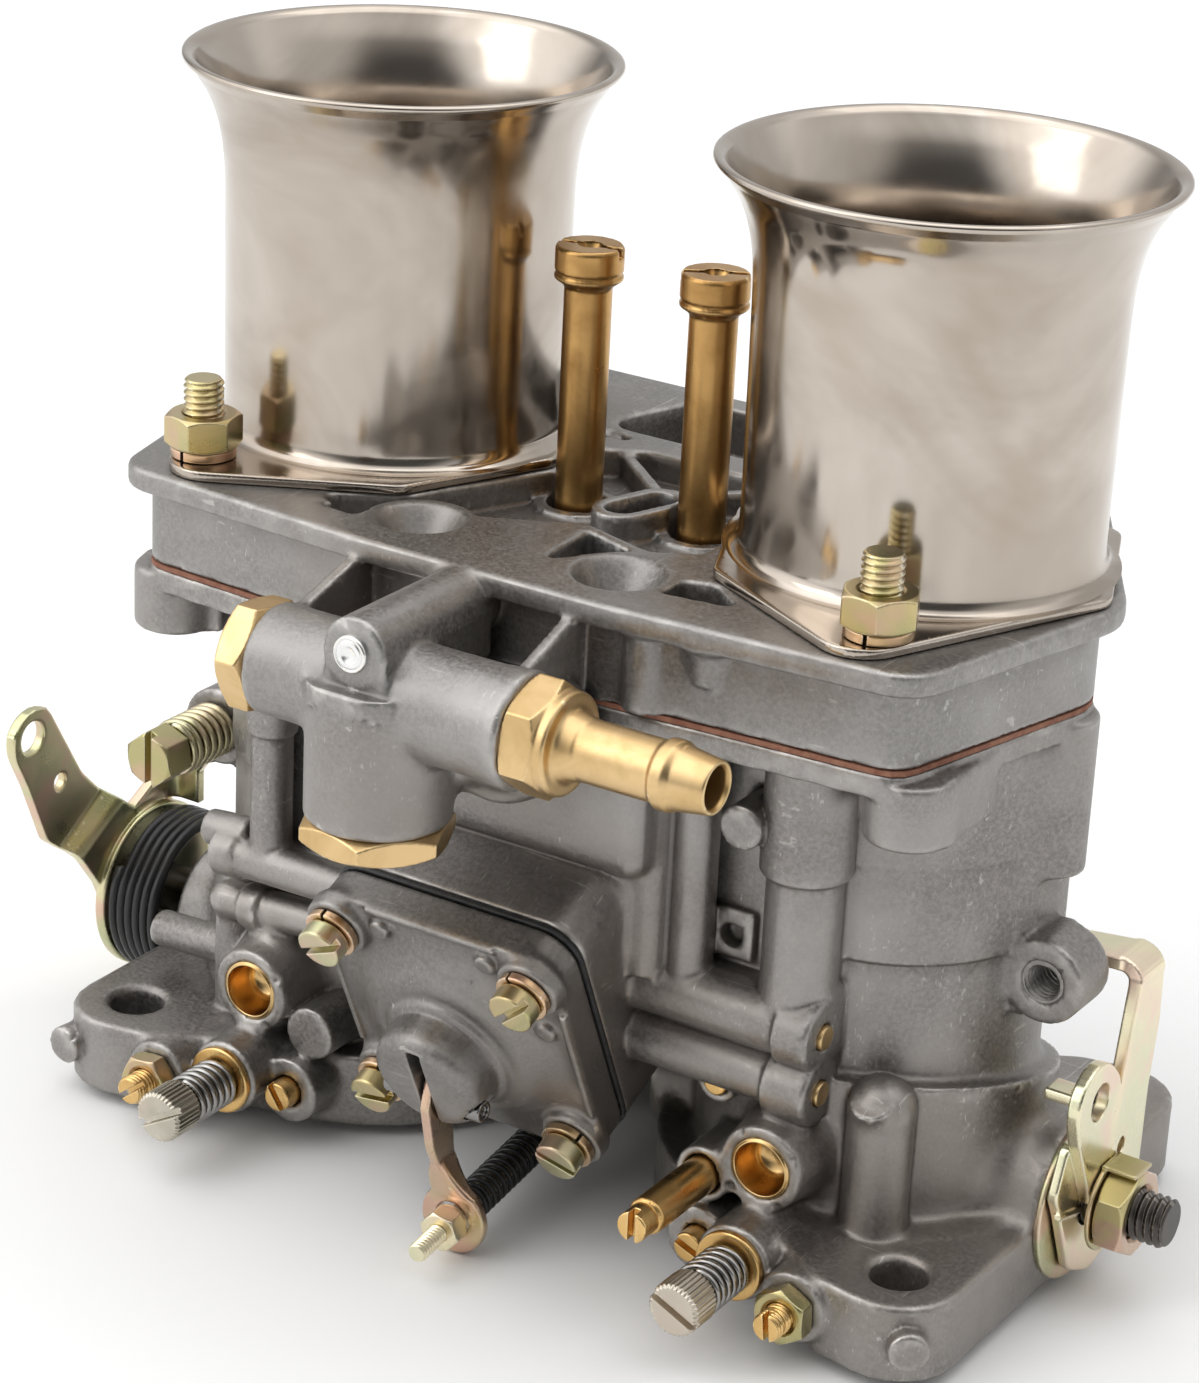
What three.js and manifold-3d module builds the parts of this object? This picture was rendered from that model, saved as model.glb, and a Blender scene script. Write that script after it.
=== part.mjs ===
// Twin-barrel downdraught carburettor, modelled as it comes apart on a bench.
// Millimetres, +Z up (against the air flow), +X along the row of barrels, -Y towards the fuel inlet.
// The origin is on the bottom face of the mounting flange, midway between the two barrels and under the
// bridge that joins the flange's two pads. The barrels' axes stand in front of it.
import * as THREE from "three";
import { mergeVertices } from "three/addons/utils/BufferGeometryUtils.js";
import Module from "manifold-3d";

// ---- driving dimensions ----
const BARREL_X = 45; // half the barrel centre distance
const BORE_R = 20;
const BARREL_R = 23.2;
const COLLAR_R = 26.4;
const COLLAR_TOP = 34;
const FLANGE_T = 12;
const FLANGE_PAD_R = 32;
const BRIDGE_Y = 20; // middle of the bridge between the pads, behind the barrels' axes
const EAR_X = 67.6;
const EAR_Y = 33.2;
const EAR_HOLE_R = 4.2;
const BODY_TOP = 86.6;
const BODY_RIM_T = 3.6;
const GASKET_T = 0.7;
const SEAT_GAP = 0.05; // between faces that rest on each other
const COVER_BASE = BODY_TOP + GASKET_T + 2 * SEAT_GAP;
const COVER_TOP = 102.5;
const COVER_LIP_T = 3.6;
const COVER_BORE_R = 22;
const RUN_GAP = 0.1; // radial clearance round anything that turns or slides
const FIT_GAP = 0.3; // clearance round anything screwed or pushed into a casting

const SHAFT_Z = 13.2;
const SHAFT_R = 4;
const SHAFT_LEFT = -93.5;
const SHAFT_RIGHT = 93.4;
const PLATE_R = 19.7;
const PLATE_T = 1.5;
const BOSS_FACE_X = 77.6;
const PUMP_ARM = 7; // shaft axis to the pump rod's pivot

const TRUMPET_PLATE_T = 1.5;
const TRUMPET_WALL = 1.1;
const TRUMPET_RIM_Z = 159.5;
const TRUMPET_RIM_R = 32.2;
const STUD_R = 3;
const STUD_TOP = 115.8;
const FRONT_STUD = [56, -32.4];
const REAR_STUD = [34, 32.4];

const JET_X = 10.5;
const JET_Y = -1.8;
const JET_TOP = 137.8;
const RECESS_Z = 98;
const FUNNELS = { left: [-18.8, -30.4], right: [15, -31.4] }; // idle air inlets in the cover
const VENT = [1.6, -4.1, 71.5]; // centre of the vent slot, and its turn in degrees from X

const IDLE_JET = [35.7, -53.2, 17]; // outer end of the idle jet holder

const INLET_Y = -60;
const INLET_Z = 89.6;
const INLET_R = 7.9;
const FILTER_X = -4;
const FILTER_R = 10.3;
const FILTER_BASE = 71.2;
const INLET_LEFT = -22; // ends of the cross tube
const INLET_RIGHT = 19.6;
const INLET_HEX = 14.6; // across flats of the union and of the plug opposite

const NEEDLE_X = -1.5;
const NEEDLE_Y = 14;
const FLOAT_PIVOT = [10.2, 71.6]; // y and z

const PUMP_SEAT = [0, -43.8, 33.2]; // centre of the accelerator pump cover's front face
const PUMP_TILT = 115; // degrees about X that turn the pump's own frame into place
const PUMP_SCREW_X = 16.3;
const PUMP_SCREW_Y = 16.2;
const PUMP_FLANGE_T = 5.5;
const PUMP_BACK = -PUMP_FLANGE_T - 1.2; // face of the body behind the diaphragm, in the pump's frame
const PUMP_HALF_X = 20.6;
const PUMP_HALF_Y = 21.2;
const PIVOT = [0, -49.3, 24.3]; // pump lever's pivot, in the part's frame
const ROD_TIP = [3, -57.6, 3.2];
const ROD_END = [-2, 0, SHAFT_Z - PUMP_ARM];
const EYE_Y = -46.5; // where the pump rod passes the lever's eye

const LUG = [72.8, -7, 48];
const MIXTURE_Z = 8.7;
const MIXTURE_FACE = -40.6; // where the boss of a mixture screw ends
const SIDES = { left: -1, right: 1 };

// Every function below measures y from the barrels' axes; the finished group is shifted once, at the end.

// ---- solids ----
const wasm = await Module();
wasm.setup();

function solid(geometry) {
  geometry.deleteAttribute("normal");
  geometry.deleteAttribute("uv");
  const merged = mergeVertices(geometry, 1e-4);
  const triVerts = new Uint32Array(merged.index.array);
  const vertProperties = merged.attributes.position.array;
  const made = new wasm.Manifold(new wasm.Mesh({ numProp: 3, vertProperties, triVerts }));
  if (made.volume() > 0) return made;
  for (let i = 0; i < triVerts.length; i += 3) {
    [triVerts[i + 1], triVerts[i + 2]] = [triVerts[i + 2], triVerts[i + 1]];
  }
  return new wasm.Manifold(new wasm.Mesh({ numProp: 3, vertProperties, triVerts }));
}

const vec = (p) => new THREE.Vector3(...p);
const join = (solids) => solids.reduce((whole, s) => whole.add(s));
const cut = (whole, tools) => tools.reduce((left, s) => left.subtract(s), whole);

// The matrix that stands a shape made about +Y on the line from a to b, with y = 0 at a.
function along(a, b) {
  const from = vec(a);
  const direction = vec(b).sub(from).normalize();
  const turn = new THREE.Quaternion().setFromUnitVectors(new THREE.Vector3(0, 1, 0), direction);
  return new THREE.Matrix4().compose(from, turn, new THREE.Vector3(1, 1, 1));
}

// A round bar (or a cone, or a prism of few sides) from a to b.
function bar(a, b, r, { endR = r, sides = 14 } = {}) {
  const length = vec(a).distanceTo(vec(b));
  const g = new THREE.CylinderGeometry(endR, r, length, sides);
  g.translate(0, length / 2, 0);
  return solid(g.applyMatrix4(along(a, b)));
}

// A finer round bar, for bores and everything turned.
const round = (a, b, r) => bar(a, b, r, { sides: 24 });

// A hexagon bar from a to b with the given width across its flats.
function hex(a, b, acrossFlats) {
  return bar(a, b, acrossFlats / Math.sqrt(3), { sides: 6 });
}

function box(low, high) {
  const size = vec(high).sub(vec(low));
  const g = new THREE.BoxGeometry(size.x, size.y, size.z);
  const middle = vec(low).addScaledVector(size, 0.5);
  return solid(g.translate(middle.x, middle.y, middle.z));
}

// A turned shape from a towards b: profile points are [radius, distance from a].
function turned(a, b, profile, sides = 16) {
  const points = profile.map(([r, d]) => new THREE.Vector2(r, d));
  return solid(new THREE.LatheGeometry(points, sides).applyMatrix4(along(a, b)));
}

// A closed outline from corners [x, y, radius], each corner rounded to its radius.
function outline(corners) {
  const shape = new THREE.Shape();
  corners.forEach(([x, y, r = 0], i) => {
    const here = new THREE.Vector2(x, y);
    const before = new THREE.Vector2(...corners.at(i - 1).slice(0, 2)).sub(here).normalize();
    const next = corners[(i + 1) % corners.length];
    const after = new THREE.Vector2(...next.slice(0, 2)).sub(here).normalize();
    const reach = r / Math.tan(Math.acos(before.dot(after)) / 2);
    const start = here.clone().addScaledVector(before, reach);
    const end = here.clone().addScaledVector(after, reach);
    if (i === 0) shape.moveTo(start.x, start.y);
    else shape.lineTo(start.x, start.y);
    if (r > 0) shape.quadraticCurveTo(x, y, end.x, end.y);
  });
  shape.closePath();
  return shape;
}

// An outline in the XY plane raised from z = low to z = high.
function slab(corners, low, high, holes = []) {
  const shape = outline(corners);
  for (const [x, y, r] of holes) shape.holes.push(new THREE.Path().absarc(x, y, r, 0, 2 * Math.PI));
  const g = new THREE.ExtrudeGeometry(shape, { depth: high - low, bevelEnabled: false, curveSegments: 3 });
  return solid(g.translate(0, 0, low));
}

// The same, for an outline in the YZ plane, from x = low to x = high.
function sideSlab(corners, low, high, holes = []) {
  const toX = new THREE.Matrix4().makeBasis(vec([0, 1, 0]), vec([0, 0, 1]), vec([1, 0, 0]));
  const shape = outline(corners);
  for (const [y, z, r] of holes) shape.holes.push(new THREE.Path().absarc(y, z, r, 0, 2 * Math.PI));
  const g = new THREE.ExtrudeGeometry(shape, { depth: high - low, bevelEnabled: false, curveSegments: 3 });
  return solid(g.translate(0, 0, low).applyMatrix4(toX));
}

const mirrored = (corners) => corners.map(([x, y, r]) => [-x, y, r]).reverse();

// A coil spring along +Y from a to b, as one swept wire.
function coil(a, b, radius, wire, turns, perTurn = 10) {
  const length = vec(a).distanceTo(vec(b)) - 2 * wire;
  const points = [];
  for (let i = 0; i <= turns * perTurn; i++) {
    const angle = (2 * Math.PI * i) / perTurn;
    const rise = wire + (length * i) / (turns * perTurn);
    points.push(new THREE.Vector3(radius * Math.cos(angle), rise, radius * Math.sin(angle)));
  }
  const path = new THREE.CatmullRomCurve3(points);
  const section = new THREE.Shape().absarc(0, 0, wire, 0, 2 * Math.PI);
  const options = { steps: turns * perTurn, extrudePath: path, curveSegments: 2, bevelEnabled: false };
  return solid(new THREE.ExtrudeGeometry(section, options).applyMatrix4(along(a, b)));
}

// ---- the pump's own frame: x along X, y up the cover, z out of its front face ----
const pumpFrame = new THREE.Matrix4()
  .makeTranslation(...PUMP_SEAT)
  .multiply(new THREE.Matrix4().makeRotationX(THREE.MathUtils.degToRad(PUMP_TILT)));
const fromPump = (x, y, z) => vec([x, y, z]).applyMatrix4(pumpFrame).toArray();
const inPump = (made) => made.transform(pumpFrame.elements.slice());

// The pump flange's rounded square, grown by extra all round.
function pumpOutline(extra = 0) {
  const x = PUMP_HALF_X + extra;
  const y = PUMP_HALF_Y + extra;
  return [
    [x, -y, 6],
    [x, y, 6],
    [-x, y, 6],
    [-x, -y, 6],
  ];
}

const PUMP_SCREW_HOLES = [-1, 1].flatMap((i) =>
  [-1, 1].map((j) => [i * PUMP_SCREW_X, j * PUMP_SCREW_Y, 2 + FIT_GAP]),
);

// ---- outlines ----
const halfCover = [
  [20, -43.2, 0],
  [66, -39.8, 7],
  [76, 2.5, 12],
  [51.5, 46, 8],
];
const coverOutline = [...halfCover, ...mirrored(halfCover)];
const halfRim = [
  [20, -40, 0],
  [63.2, -37, 5],
  [72.6, 2.2, 10],
  [49.6, 43, 6],
];
const rimOutline = [...halfRim, ...mirrored(halfRim)];
const halfEars = [
  [40, -30, 0],
  [59, -41.6, 6],
  [77.3, -45, 9],
  [77.3, 45, 9],
  [59, 41.6, 6],
  [40, 30, 0],
];

// ---- castings ----
function flangePad(s) {
  const corners = s > 0 ? halfEars : mirrored(halfEars);
  const ears = slab(corners, 0, FLANGE_T);
  const pad = round([s * BARREL_X, 0, 0], [s * BARREL_X, 0, FLANGE_T], FLANGE_PAD_R);
  return ears.add(pad);
}

function barrelOutside(s) {
  const x = s * BARREL_X;
  return join([
    round([x, 0, 0], [x, 0, BODY_TOP - 1], BARREL_R),
    round([x, 0, FLANGE_T - 1], [x, 0, COLLAR_TOP], COLLAR_R),
    round([x, 0, 64], [x, 0, BODY_TOP - 1], BARREL_R + 1.3),
    bar([x, 0, SHAFT_Z], [s * BOSS_FACE_X, 0, SHAFT_Z], 11.4),
    bar([x, 0, SHAFT_Z], [s * 12, 0, SHAFT_Z], 10.2),
    sideSlab([[-5, 42, 0], [-5, 80, 0], [8, 80, 0], [8, 42, 0]], ...[s * 60, s * 70].sort((a, b) => a - b)),
  ]);
}

// Screw bosses and ribs that both barrels carry.
function barrelDetail(s) {
  const x = s * BARREL_X;
  return join([
    bar([s * 62, -31, 76], [s * 62, -31, BODY_TOP - 1], 6.2),
    bar([s * 68, 1, 62], [s * 68, 1, BODY_TOP - 1], 5.6),
    bar([s * 50, 33, 74], [s * 50, 33, BODY_TOP - 1], 6.2),
    bar([s * 45, -34.4, 21], [s * 45, -20, 21], 6.4),
    bar([x, MIXTURE_FACE, MIXTURE_Z], [x, -28, MIXTURE_Z], 5.8),
    bar([s * 56, -43, 6.6], [s * 56, -36, 6.6], 5.2),
    bar([s * 36.5, -35.6, 7.2], [s * 36.5, -26, 7.2], 5),
    box([Math.min(s * 60, s * 72), -7, 42.5], [Math.max(s * 60, s * 72), 1.5, 53.5]),
    bar([s * LUG[0], LUG[1], LUG[2]], [s * LUG[0], 1.5, LUG[2]], 6.3),
  ]);
}

// Drilled passages with their plugged ends, a lug and pillars on the right barrel and beside the bowl.
function rightPassages() {
  return join([
    bar([44.8, -26.5, 64.3], [44.8, -26.5, BODY_TOP - 1], 6.6),
    bar([44.8, -26.5, 40], [44.8, -26.5, 65], 5.5),
    bar([12, -28.5, 41.5], [50.4, -28.5, 41.5], 4.5),
    bar([12, -28.5, 32.7], [50.4, -28.5, 32.7], 4),
    box([12, -28.4, 37.6], [46, -18, 45.9]),
    box([40, -27, 29], [50.4, -18, 46]),
    bar([22.5, -31, 44], [22.5, -31, BODY_TOP - 1], 3, { sides: 12 }),
    bar([28.2, -28.4, 44], [28.2, -28.4, BODY_TOP - 1], 3.3, { sides: 12 }),
    box([22, -26, 44], [42, -16, BODY_TOP - 1]),
    bar([37.8, -33.6, 71.3], [37.8, -22, 71.3], 3.3),
    bar([33.4, -33, 50.6], [33.4, -24, 50.6], 3.8),
    bar([34.3, -29.2, 29.2], [34.3, -18, 29.2], 3.2),
    bar([IDLE_JET[0], -34.4, IDLE_JET[2]], [IDLE_JET[0], -22, IDLE_JET[2]], 4.2),
    bar([58.3, -24.2, 12], [58.3, -24.2, 33], 4.8),
    bar([75, -43.2, 6.4], [70, -36, 6.4], 2.8, { sides: 16 }),
  ]);
}

// The passages and pillar on the left barrel, and the tube that points at the return spring.
function leftPassages() {
  return join([
    bar([-46, -28, 61.6], [-46, -28, BODY_TOP - 1], 3.9),
    bar([-46, -28, 40], [-46, -28, 62], 3.2),
    bar([-55, -28.5, 39.8], [-18, -30, 41.2], 3.2),
    bar([-55, -28.5, 39.8], [-50.6, -28.5, 40], 3.8),
    bar([-58.3, -27, 42.1], [-50, -27, 42.9], 2.7),
    box([-52, -28, 36], [-22, -16, 60]),
    bar([-54.5, -27, 31], [-16, -29, 34.6], 2.9),
    bar([-50.5, -27.4, 31.4], [-46.7, -27.6, 31.7], 3.5),
    box([-54, -27, 28], [-26, -16, 37]),
    bar([-54.8, -25.6, 12], [-54.8, -25.6, 31], 2.6),
    bar([-72.4, -21, 18.4], [-55, -23.4, 20.6], 2.9),
    bar([-74.2, -43.4, 6], [-73.2, -36, 6], 2.9, { sides: 16 }),
    bar([-34.4, -33.4, 16.5], [-34.4, -22, 16.5], 4.2),
  ]);
}

function bowl() {
  const side = 24;
  return join([
    box([-side, -39, 60], [side, 38, BODY_TOP - 1]),
    box([-side, -16, 26], [side, 22, 61]),
    slab(rimOutline, BODY_TOP - BODY_RIM_T, BODY_TOP),
    box([-20, 14, 0], [20, 26, FLANGE_T]),
    box([-20, 16, FLANGE_T - 1], [20, 22, 30]),
  ]);
}

function pumpHousing() {
  const shell = inPump(slab(pumpOutline(), PUMP_BACK - 17, PUMP_BACK));
  const neck = box([-PUMP_HALF_X, -34, 36], [PUMP_HALF_X, -12, 64]);
  return shell.add(neck);
}

function boresOfBody(s) {
  const x = s * BARREL_X;
  return [
    round([x, 0, -1], [x, 0, BODY_TOP + 1], BORE_R),
    bar([s * EAR_X, -EAR_Y, -1], [s * EAR_X, -EAR_Y, FLANGE_T + 1], EAR_HOLE_R),
    bar([s * EAR_X, EAR_Y, -1], [s * EAR_X, EAR_Y, FLANGE_T + 1], EAR_HOLE_R),
    bar([s * JET_X, JET_Y, 46], [s * JET_X, JET_Y, BODY_TOP + 1], 3.5 + FIT_GAP),
    bar([s * 45, -35, 21], [s * 45, -27.5, 21], 4),
    bar([x, -44, MIXTURE_Z], [x, -27, MIXTURE_Z], 2.2 + FIT_GAP),
    bar([s * 56, -44, 6.6], [s * 56, -34, 6.6], 2 + FIT_GAP),
    bar([s * LUG[0], LUG[1] - 1, LUG[2]], [s * LUG[0], 3, LUG[2]], 2.9),
  ];
}

function throttleBody() {
  const sides = Object.values(SIDES);
  const whole = join([
    ...sides.flatMap((s) => [flangePad(s), barrelOutside(s), barrelDetail(s)]),
    rightPassages(),
    leftPassages(),
    bowl(),
    pumpHousing(),
  ]);
  const pumpScrews = PUMP_SCREW_HOLES.map(([x, y, r]) =>
    bar(fromPump(x, y, PUMP_BACK - 6), fromPump(x, y, PUMP_BACK + 1), r),
  );
  return cut(whole, [
    ...sides.flatMap(boresOfBody),
    ...pumpScrews,
    round([-BOSS_FACE_X - 1, 0, SHAFT_Z], [BOSS_FACE_X + 1, 0, SHAFT_Z], SHAFT_R + RUN_GAP),
    box([-19, 8, 64], [19, 34, BODY_TOP + 1]),
    box([-19, -34, 66], [19, -10, BODY_TOP + 1]),
    bar(fromPump(0, 0, PUMP_BACK - 12), fromPump(0, 0, PUMP_BACK + 1), 13),
    box([-12, -60, -1], [12, 13, 25]),
    bar([IDLE_JET[0], -36, IDLE_JET[2]], [IDLE_JET[0], -20, IDLE_JET[2]], 2.8 + FIT_GAP),
  ]);
}

function coverGasket() {
  const low = BODY_TOP + SEAT_GAP;
  const sheet = slab(rimOutline, low, low + GASKET_T);
  const openings = Object.values(SIDES).flatMap((s) => [
    round([s * BARREL_X, 0, low - 1], [s * BARREL_X, 0, low + 2], BORE_R + 0.6),
    bar([s * JET_X, JET_Y, low - 1], [s * JET_X, JET_Y, low + 2], 4.4),
  ]);
  return cut(sheet, [
    ...openings,
    box([-19, 8, low - 1], [19, 34, low + 2]),
    box([-19, -34, low - 1], [19, -10, low + 2]),
  ]);
}

// The fuel inlet that is cast on the front of the cover: a cross tube, a filter well and an arm.
function inletCasting() {
  return join([
    round([INLET_LEFT, INLET_Y, INLET_Z], [INLET_RIGHT, INLET_Y, INLET_Z], INLET_R),
    round([FILTER_X, INLET_Y, FILTER_BASE], [FILTER_X, INLET_Y, 91.8], FILTER_R),
    bar([FILTER_X, INLET_Y, 89], [FILTER_X, INLET_Y, 91.8], FILTER_R + 0.5),
    box([FILTER_X, -59.5, FILTER_BASE + 2], [13, -46, INLET_Z]),
    box([-12, -58, FILTER_BASE + 3], [13, -40.8, 90]),
    box([-12, -58, COVER_BASE], [13, -38, 91]),
    box([-8.5, -67.8, 90.6], [1.5, -40, 97.4]),
    bar([-3.5, -67.8, 97.4], [-3.5, -38, 97.4], 5),
    sideSlab([[-60, 90, 0], [-60, 95, 0], [-38, 101.4, 0], [-38, 90, 0]], -22, -20),
    sideSlab([[-55, 88, 0], [-55, 95, 0], [-38, 101.4, 0], [-38, 88, 0]], 13.6, 15.6),
  ]);
}

// The sunken middle of the cover, with the rim of the vent slot and the ribs that meet it left standing.
function coverRecess() {
  const sunk = slab(
    [
      [-36, -31, 1],
      [-30, -34, 1],
      [-14, -24.8, 1],
      [1, -17, 1],
      [13.5, -21, 1],
      [20, -17, 1],
      [17.5, 10, 3],
      [9, 15, 2],
      [-9, 15, 2],
      [-17.5, 10, 3],
      [-15, -1, 2],
      [-25, -23, 1],
    ],
    RECESS_Z,
    COVER_TOP + 1,
  );
  const [x, y, turn] = VENT;
  const rib = (x0, y0, x1, y1) => {
    const across = new THREE.Vector2(y0 - y1, x1 - x0).setLength(0.9);
    const ends = [[x0, y0, 1], [x1, y1, 1], [x1, y1, -1], [x0, y0, -1]];
    const corners = ends.map(([u, v, k]) => [u - k * across.x, v - k * across.y, 0]);
    return slab(corners, RECESS_Z - 1, COVER_TOP + 2);
  };
  const a = (turn * Math.PI) / 180;
  const slot = (r) => {
    const [u, v] = [3.6 * Math.cos(a), 3.6 * Math.sin(a)];
    return bar([x - u, y - v, RECESS_Z - 3], [x - u, y - v, COVER_TOP + 2], r)
      .add(bar([x + u, y + v, RECESS_Z - 3], [x + u, y + v, COVER_TOP + 2], r))
      .hull();
  };
  const funnels = Object.values(FUNNELS).map(([u, v]) =>
    bar([u, v, RECESS_Z - 1], [u, v, COVER_TOP + 2], 8.2),
  );
  const standing = join([slot(4.3), ...funnels, rib(-19, 20, 0, 3), rib(19, 20, 3, 3)]);
  const pocket = (corners) => slab(corners.map(([u, v]) => [u, v, 0.5]), RECESS_Z, COVER_TOP + 1);
  const front = pocket([[3.4, -33], [9, -26], [11.5, -22.6], [2.6, -19.4]]);
  const right = pocket([[22.8, -33.6], [34.5, -32], [28, -26.4], [23.2, -28]]);
  return [sunk.subtract(standing), slot(2.5), front.subtract(funnels[1]), right.subtract(funnels[1])];
}

function topCover() {
  const whole = join([
    slab(coverOutline, COVER_TOP - COVER_LIP_T, COVER_TOP),
    slab(rimOutline, COVER_BASE, COVER_TOP - 1),
    inletCasting(),
    ...Object.values(SIDES).map((s) => {
      const [inner, outer] = [6.6 * s, 9.2 * s].sort((a, b) => a - b);
      return box([inner, 8.4, 69.4], [outer, 12.4, COVER_BASE + 1]);
    }),
  ]);
  const perBarrel = Object.values(SIDES).flatMap((s) => [
    round([s * BARREL_X, 0, COVER_BASE - 1], [s * BARREL_X, 0, COVER_TOP + 1], COVER_BORE_R),
    bar([s * JET_X, JET_Y, COVER_BASE - 1], [s * JET_X, JET_Y, COVER_TOP + 1], 4.75),
    ...[FRONT_STUD, REAR_STUD].map(([x, y]) =>
      bar([s * x, y, 91], [s * x, y, COVER_TOP + 1], STUD_R + FIT_GAP),
    ),
  ]);
  const funnels = Object.values(FUNNELS).map(([x, y]) =>
    bar([x, y, 96.5], [x, y, COVER_TOP + 0.1], 2.4, { endR: 6.6, sides: 20 }),
  );
  return cut(whole, [
    ...perBarrel,
    ...funnels,
    ...coverRecess(),
    slab([[-21, 20, 3], [21, 20, 3], [21, 41, 3], [-21, 41, 3]], 95, COVER_TOP + 1),
    bar([INLET_LEFT - 1, INLET_Y, INLET_Z], [INLET_RIGHT + 1, INLET_Y, INLET_Z], 5.8 + FIT_GAP),
    bar([FILTER_X, INLET_Y, FILTER_BASE - 1], [FILTER_X, INLET_Y, INLET_Z], 8.6),
    bar([-3.5, INLET_Y, 96], [NEEDLE_X, NEEDLE_Y, 96], 1.6, { sides: 12 }),
    bar([NEEDLE_X, NEEDLE_Y, COVER_BASE - 1], [NEEDLE_X, NEEDLE_Y, 97], 4.5 + FIT_GAP),
    box([-18, 16, COVER_BASE - 1], [18, 33, 92]),
    bar([-10, ...FLOAT_PIVOT], [10, ...FLOAT_PIVOT], 0.75 + RUN_GAP, { sides: 12 }),
  ]);
}

// ---- intake trumpets ----
function trumpet(s) {
  const base = COVER_TOP + SEAT_GAP;
  const plateTop = base + TRUMPET_PLATE_T;
  const outside = [
    [25.6, plateTop + 0.5],
    [25.5, plateTop + 3],
    [25.6, 120],
    [25.7, 135],
    [25.9, 144],
    [26.6, 149],
    [28.2, 153.5],
    [30.4, 157],
    [TRUMPET_RIM_R, TRUMPET_RIM_Z - 0.6],
    [TRUMPET_RIM_R - 0.5, TRUMPET_RIM_Z],
  ];
  const inside = [
    [30.2, TRUMPET_RIM_Z - 0.4],
    [27.4, 154],
    [25.6, 149.4],
    [24.9, 144],
    [24.7, 130],
    [25.6 - TRUMPET_WALL, 112],
    [22.6, base],
  ];
  const closed = [[25.6, base], ...outside, ...inside, [25.6, base]];
  const x = s * BARREL_X;
  const tube = turned([x, 0, 0], [x, 0, 1], closed, 24);
  const mirror = (corners) => (s > 0 ? corners : mirrored(corners));
  const plate = slab(
    mirror([
      [57, -42, 6.5],
      [74.5, 0, 5],
      [64, 25, 4],
      [33, 42, 6.5],
      [15.5, 0, 5],
      [26, -25, 4],
    ]),
    base,
    plateTop,
    [
      [x, 0, 24],
      [s * FRONT_STUD[0], FRONT_STUD[1], STUD_R + 2 * FIT_GAP],
      [s * REAR_STUD[0], REAR_STUD[1], STUD_R + 2 * FIT_GAP],
    ],
  );
  return tube.add(plate);
}

function stud([x, y]) {
  return bar([x, y, 92], [x, y, STUD_TOP], STUD_R, { sides: 20 });
}

function studNut([x, y]) {
  const base = COVER_TOP + TRUMPET_PLATE_T + 3 * SEAT_GAP;
  const washer = bar([x, y, base], [x, y, base + 1.6], 5);
  const nut = hex([x, y, base + 1.5], [x, y, base + 6.4], 10);
  return washer.add(nut).subtract(bar([x, y, base - 1], [x, y, base + 8], STUD_R + RUN_GAP, { sides: 20 }));
}

// ---- inside the barrels ----
function venturi(s) {
  const x = s * BARREL_X;
  const profile = [
    [19.8, 42],
    [19.8, 70],
    [19.2, 70],
    [15.4, 60],
    [14.6, 55],
    [18.6, 42],
    [19.8, 42],
  ];
  return turned([x, 0, 0], [x, 0, 1], profile, 24);
}

function auxiliaryVenturi(s) {
  const x = s * BARREL_X;
  const outer = round([x, 0, 70.3], [x, 0, 84], 19.8);
  const ring = outer.subtract(round([x, 0, 70], [x, 0, 85], 18.3));
  const horn = bar([x, 0, 60], [x, 0, 82], 6);
  const arm = box([x - 19, -2, 73], [x + 19, 2, 81]);
  const throat = bar([x, 0, 59], [x, 0, 83], 4.6);
  return cut(ring.add(horn).add(arm), [throat]);
}

// ---- jets ----
function jetHolder(s) {
  const at = [s * JET_X, JET_Y, 0];
  const up = [s * JET_X, JET_Y, 1];
  const profile = [
    [0, 50],
    [2.9, 50],
    [2.9, 86],
    [3.5, 87],
    [3.5, 131.4],
    [4.2, 132.2],
    [5, 133],
    [5, JET_TOP - 0.4],
    [4.7, JET_TOP],
    [0, JET_TOP],
  ];
  const slot = box([at[0] - 0.5, JET_Y - 6, JET_TOP - 1.4], [at[0] + 0.5, JET_Y + 6, JET_TOP + 1]);
  const jet = bar([at[0], JET_Y, JET_TOP - 3], [at[0], JET_Y, JET_TOP + 1], 1.3, { sides: 12 });
  return cut(turned(at, up, profile, 24), [slot, jet]);
}

function idleJetHolder() {
  const [x, y, z] = IDLE_JET;
  const profile = [
    [0, 0],
    [2.1, 0],
    [2.4, 0.4],
    [2.4, 4],
    [2.8, 4.3],
    [2.8, 24],
    [2.6, 32],
    [0, 32],
  ];
  const body = turned([x, y, z], [x, 0, z], profile);
  return body.subtract(box([x - 0.6, y - 1, z - 3.5], [x + 0.6, y + 1.6, z + 3.5]));
}

// ---- fuel inlet ----
function fuelUnion() {
  const face = INLET_RIGHT + SEAT_GAP;
  const shank = bar([9, INLET_Y, INLET_Z], [face + 1, INLET_Y, INLET_Z], 5.8);
  const nut = hex([face, INLET_Y, INLET_Z], [face + 5.4, INLET_Y, INLET_Z], INLET_HEX);
  const barb = turned([face + 4.6, INLET_Y, INLET_Z], [60, INLET_Y, INLET_Z], [
    [0, 0],
    [7.3, 0],
    [7.3, 2.8],
    [5.3, 4],
    [4.3, 6],
    [4.3, 15.8],
    [4.9, 16.6],
    [4.9, 19.2],
    [4.4, 20],
    [4.3, 21.8],
    [3.7, 24.75],
    [0, 24.75],
  ]);
  const bore = bar([8, INLET_Y, INLET_Z], [50, INLET_Y, INLET_Z], 2.9, { sides: 20 });
  return join([shank, nut, barb]).subtract(bore);
}

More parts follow.
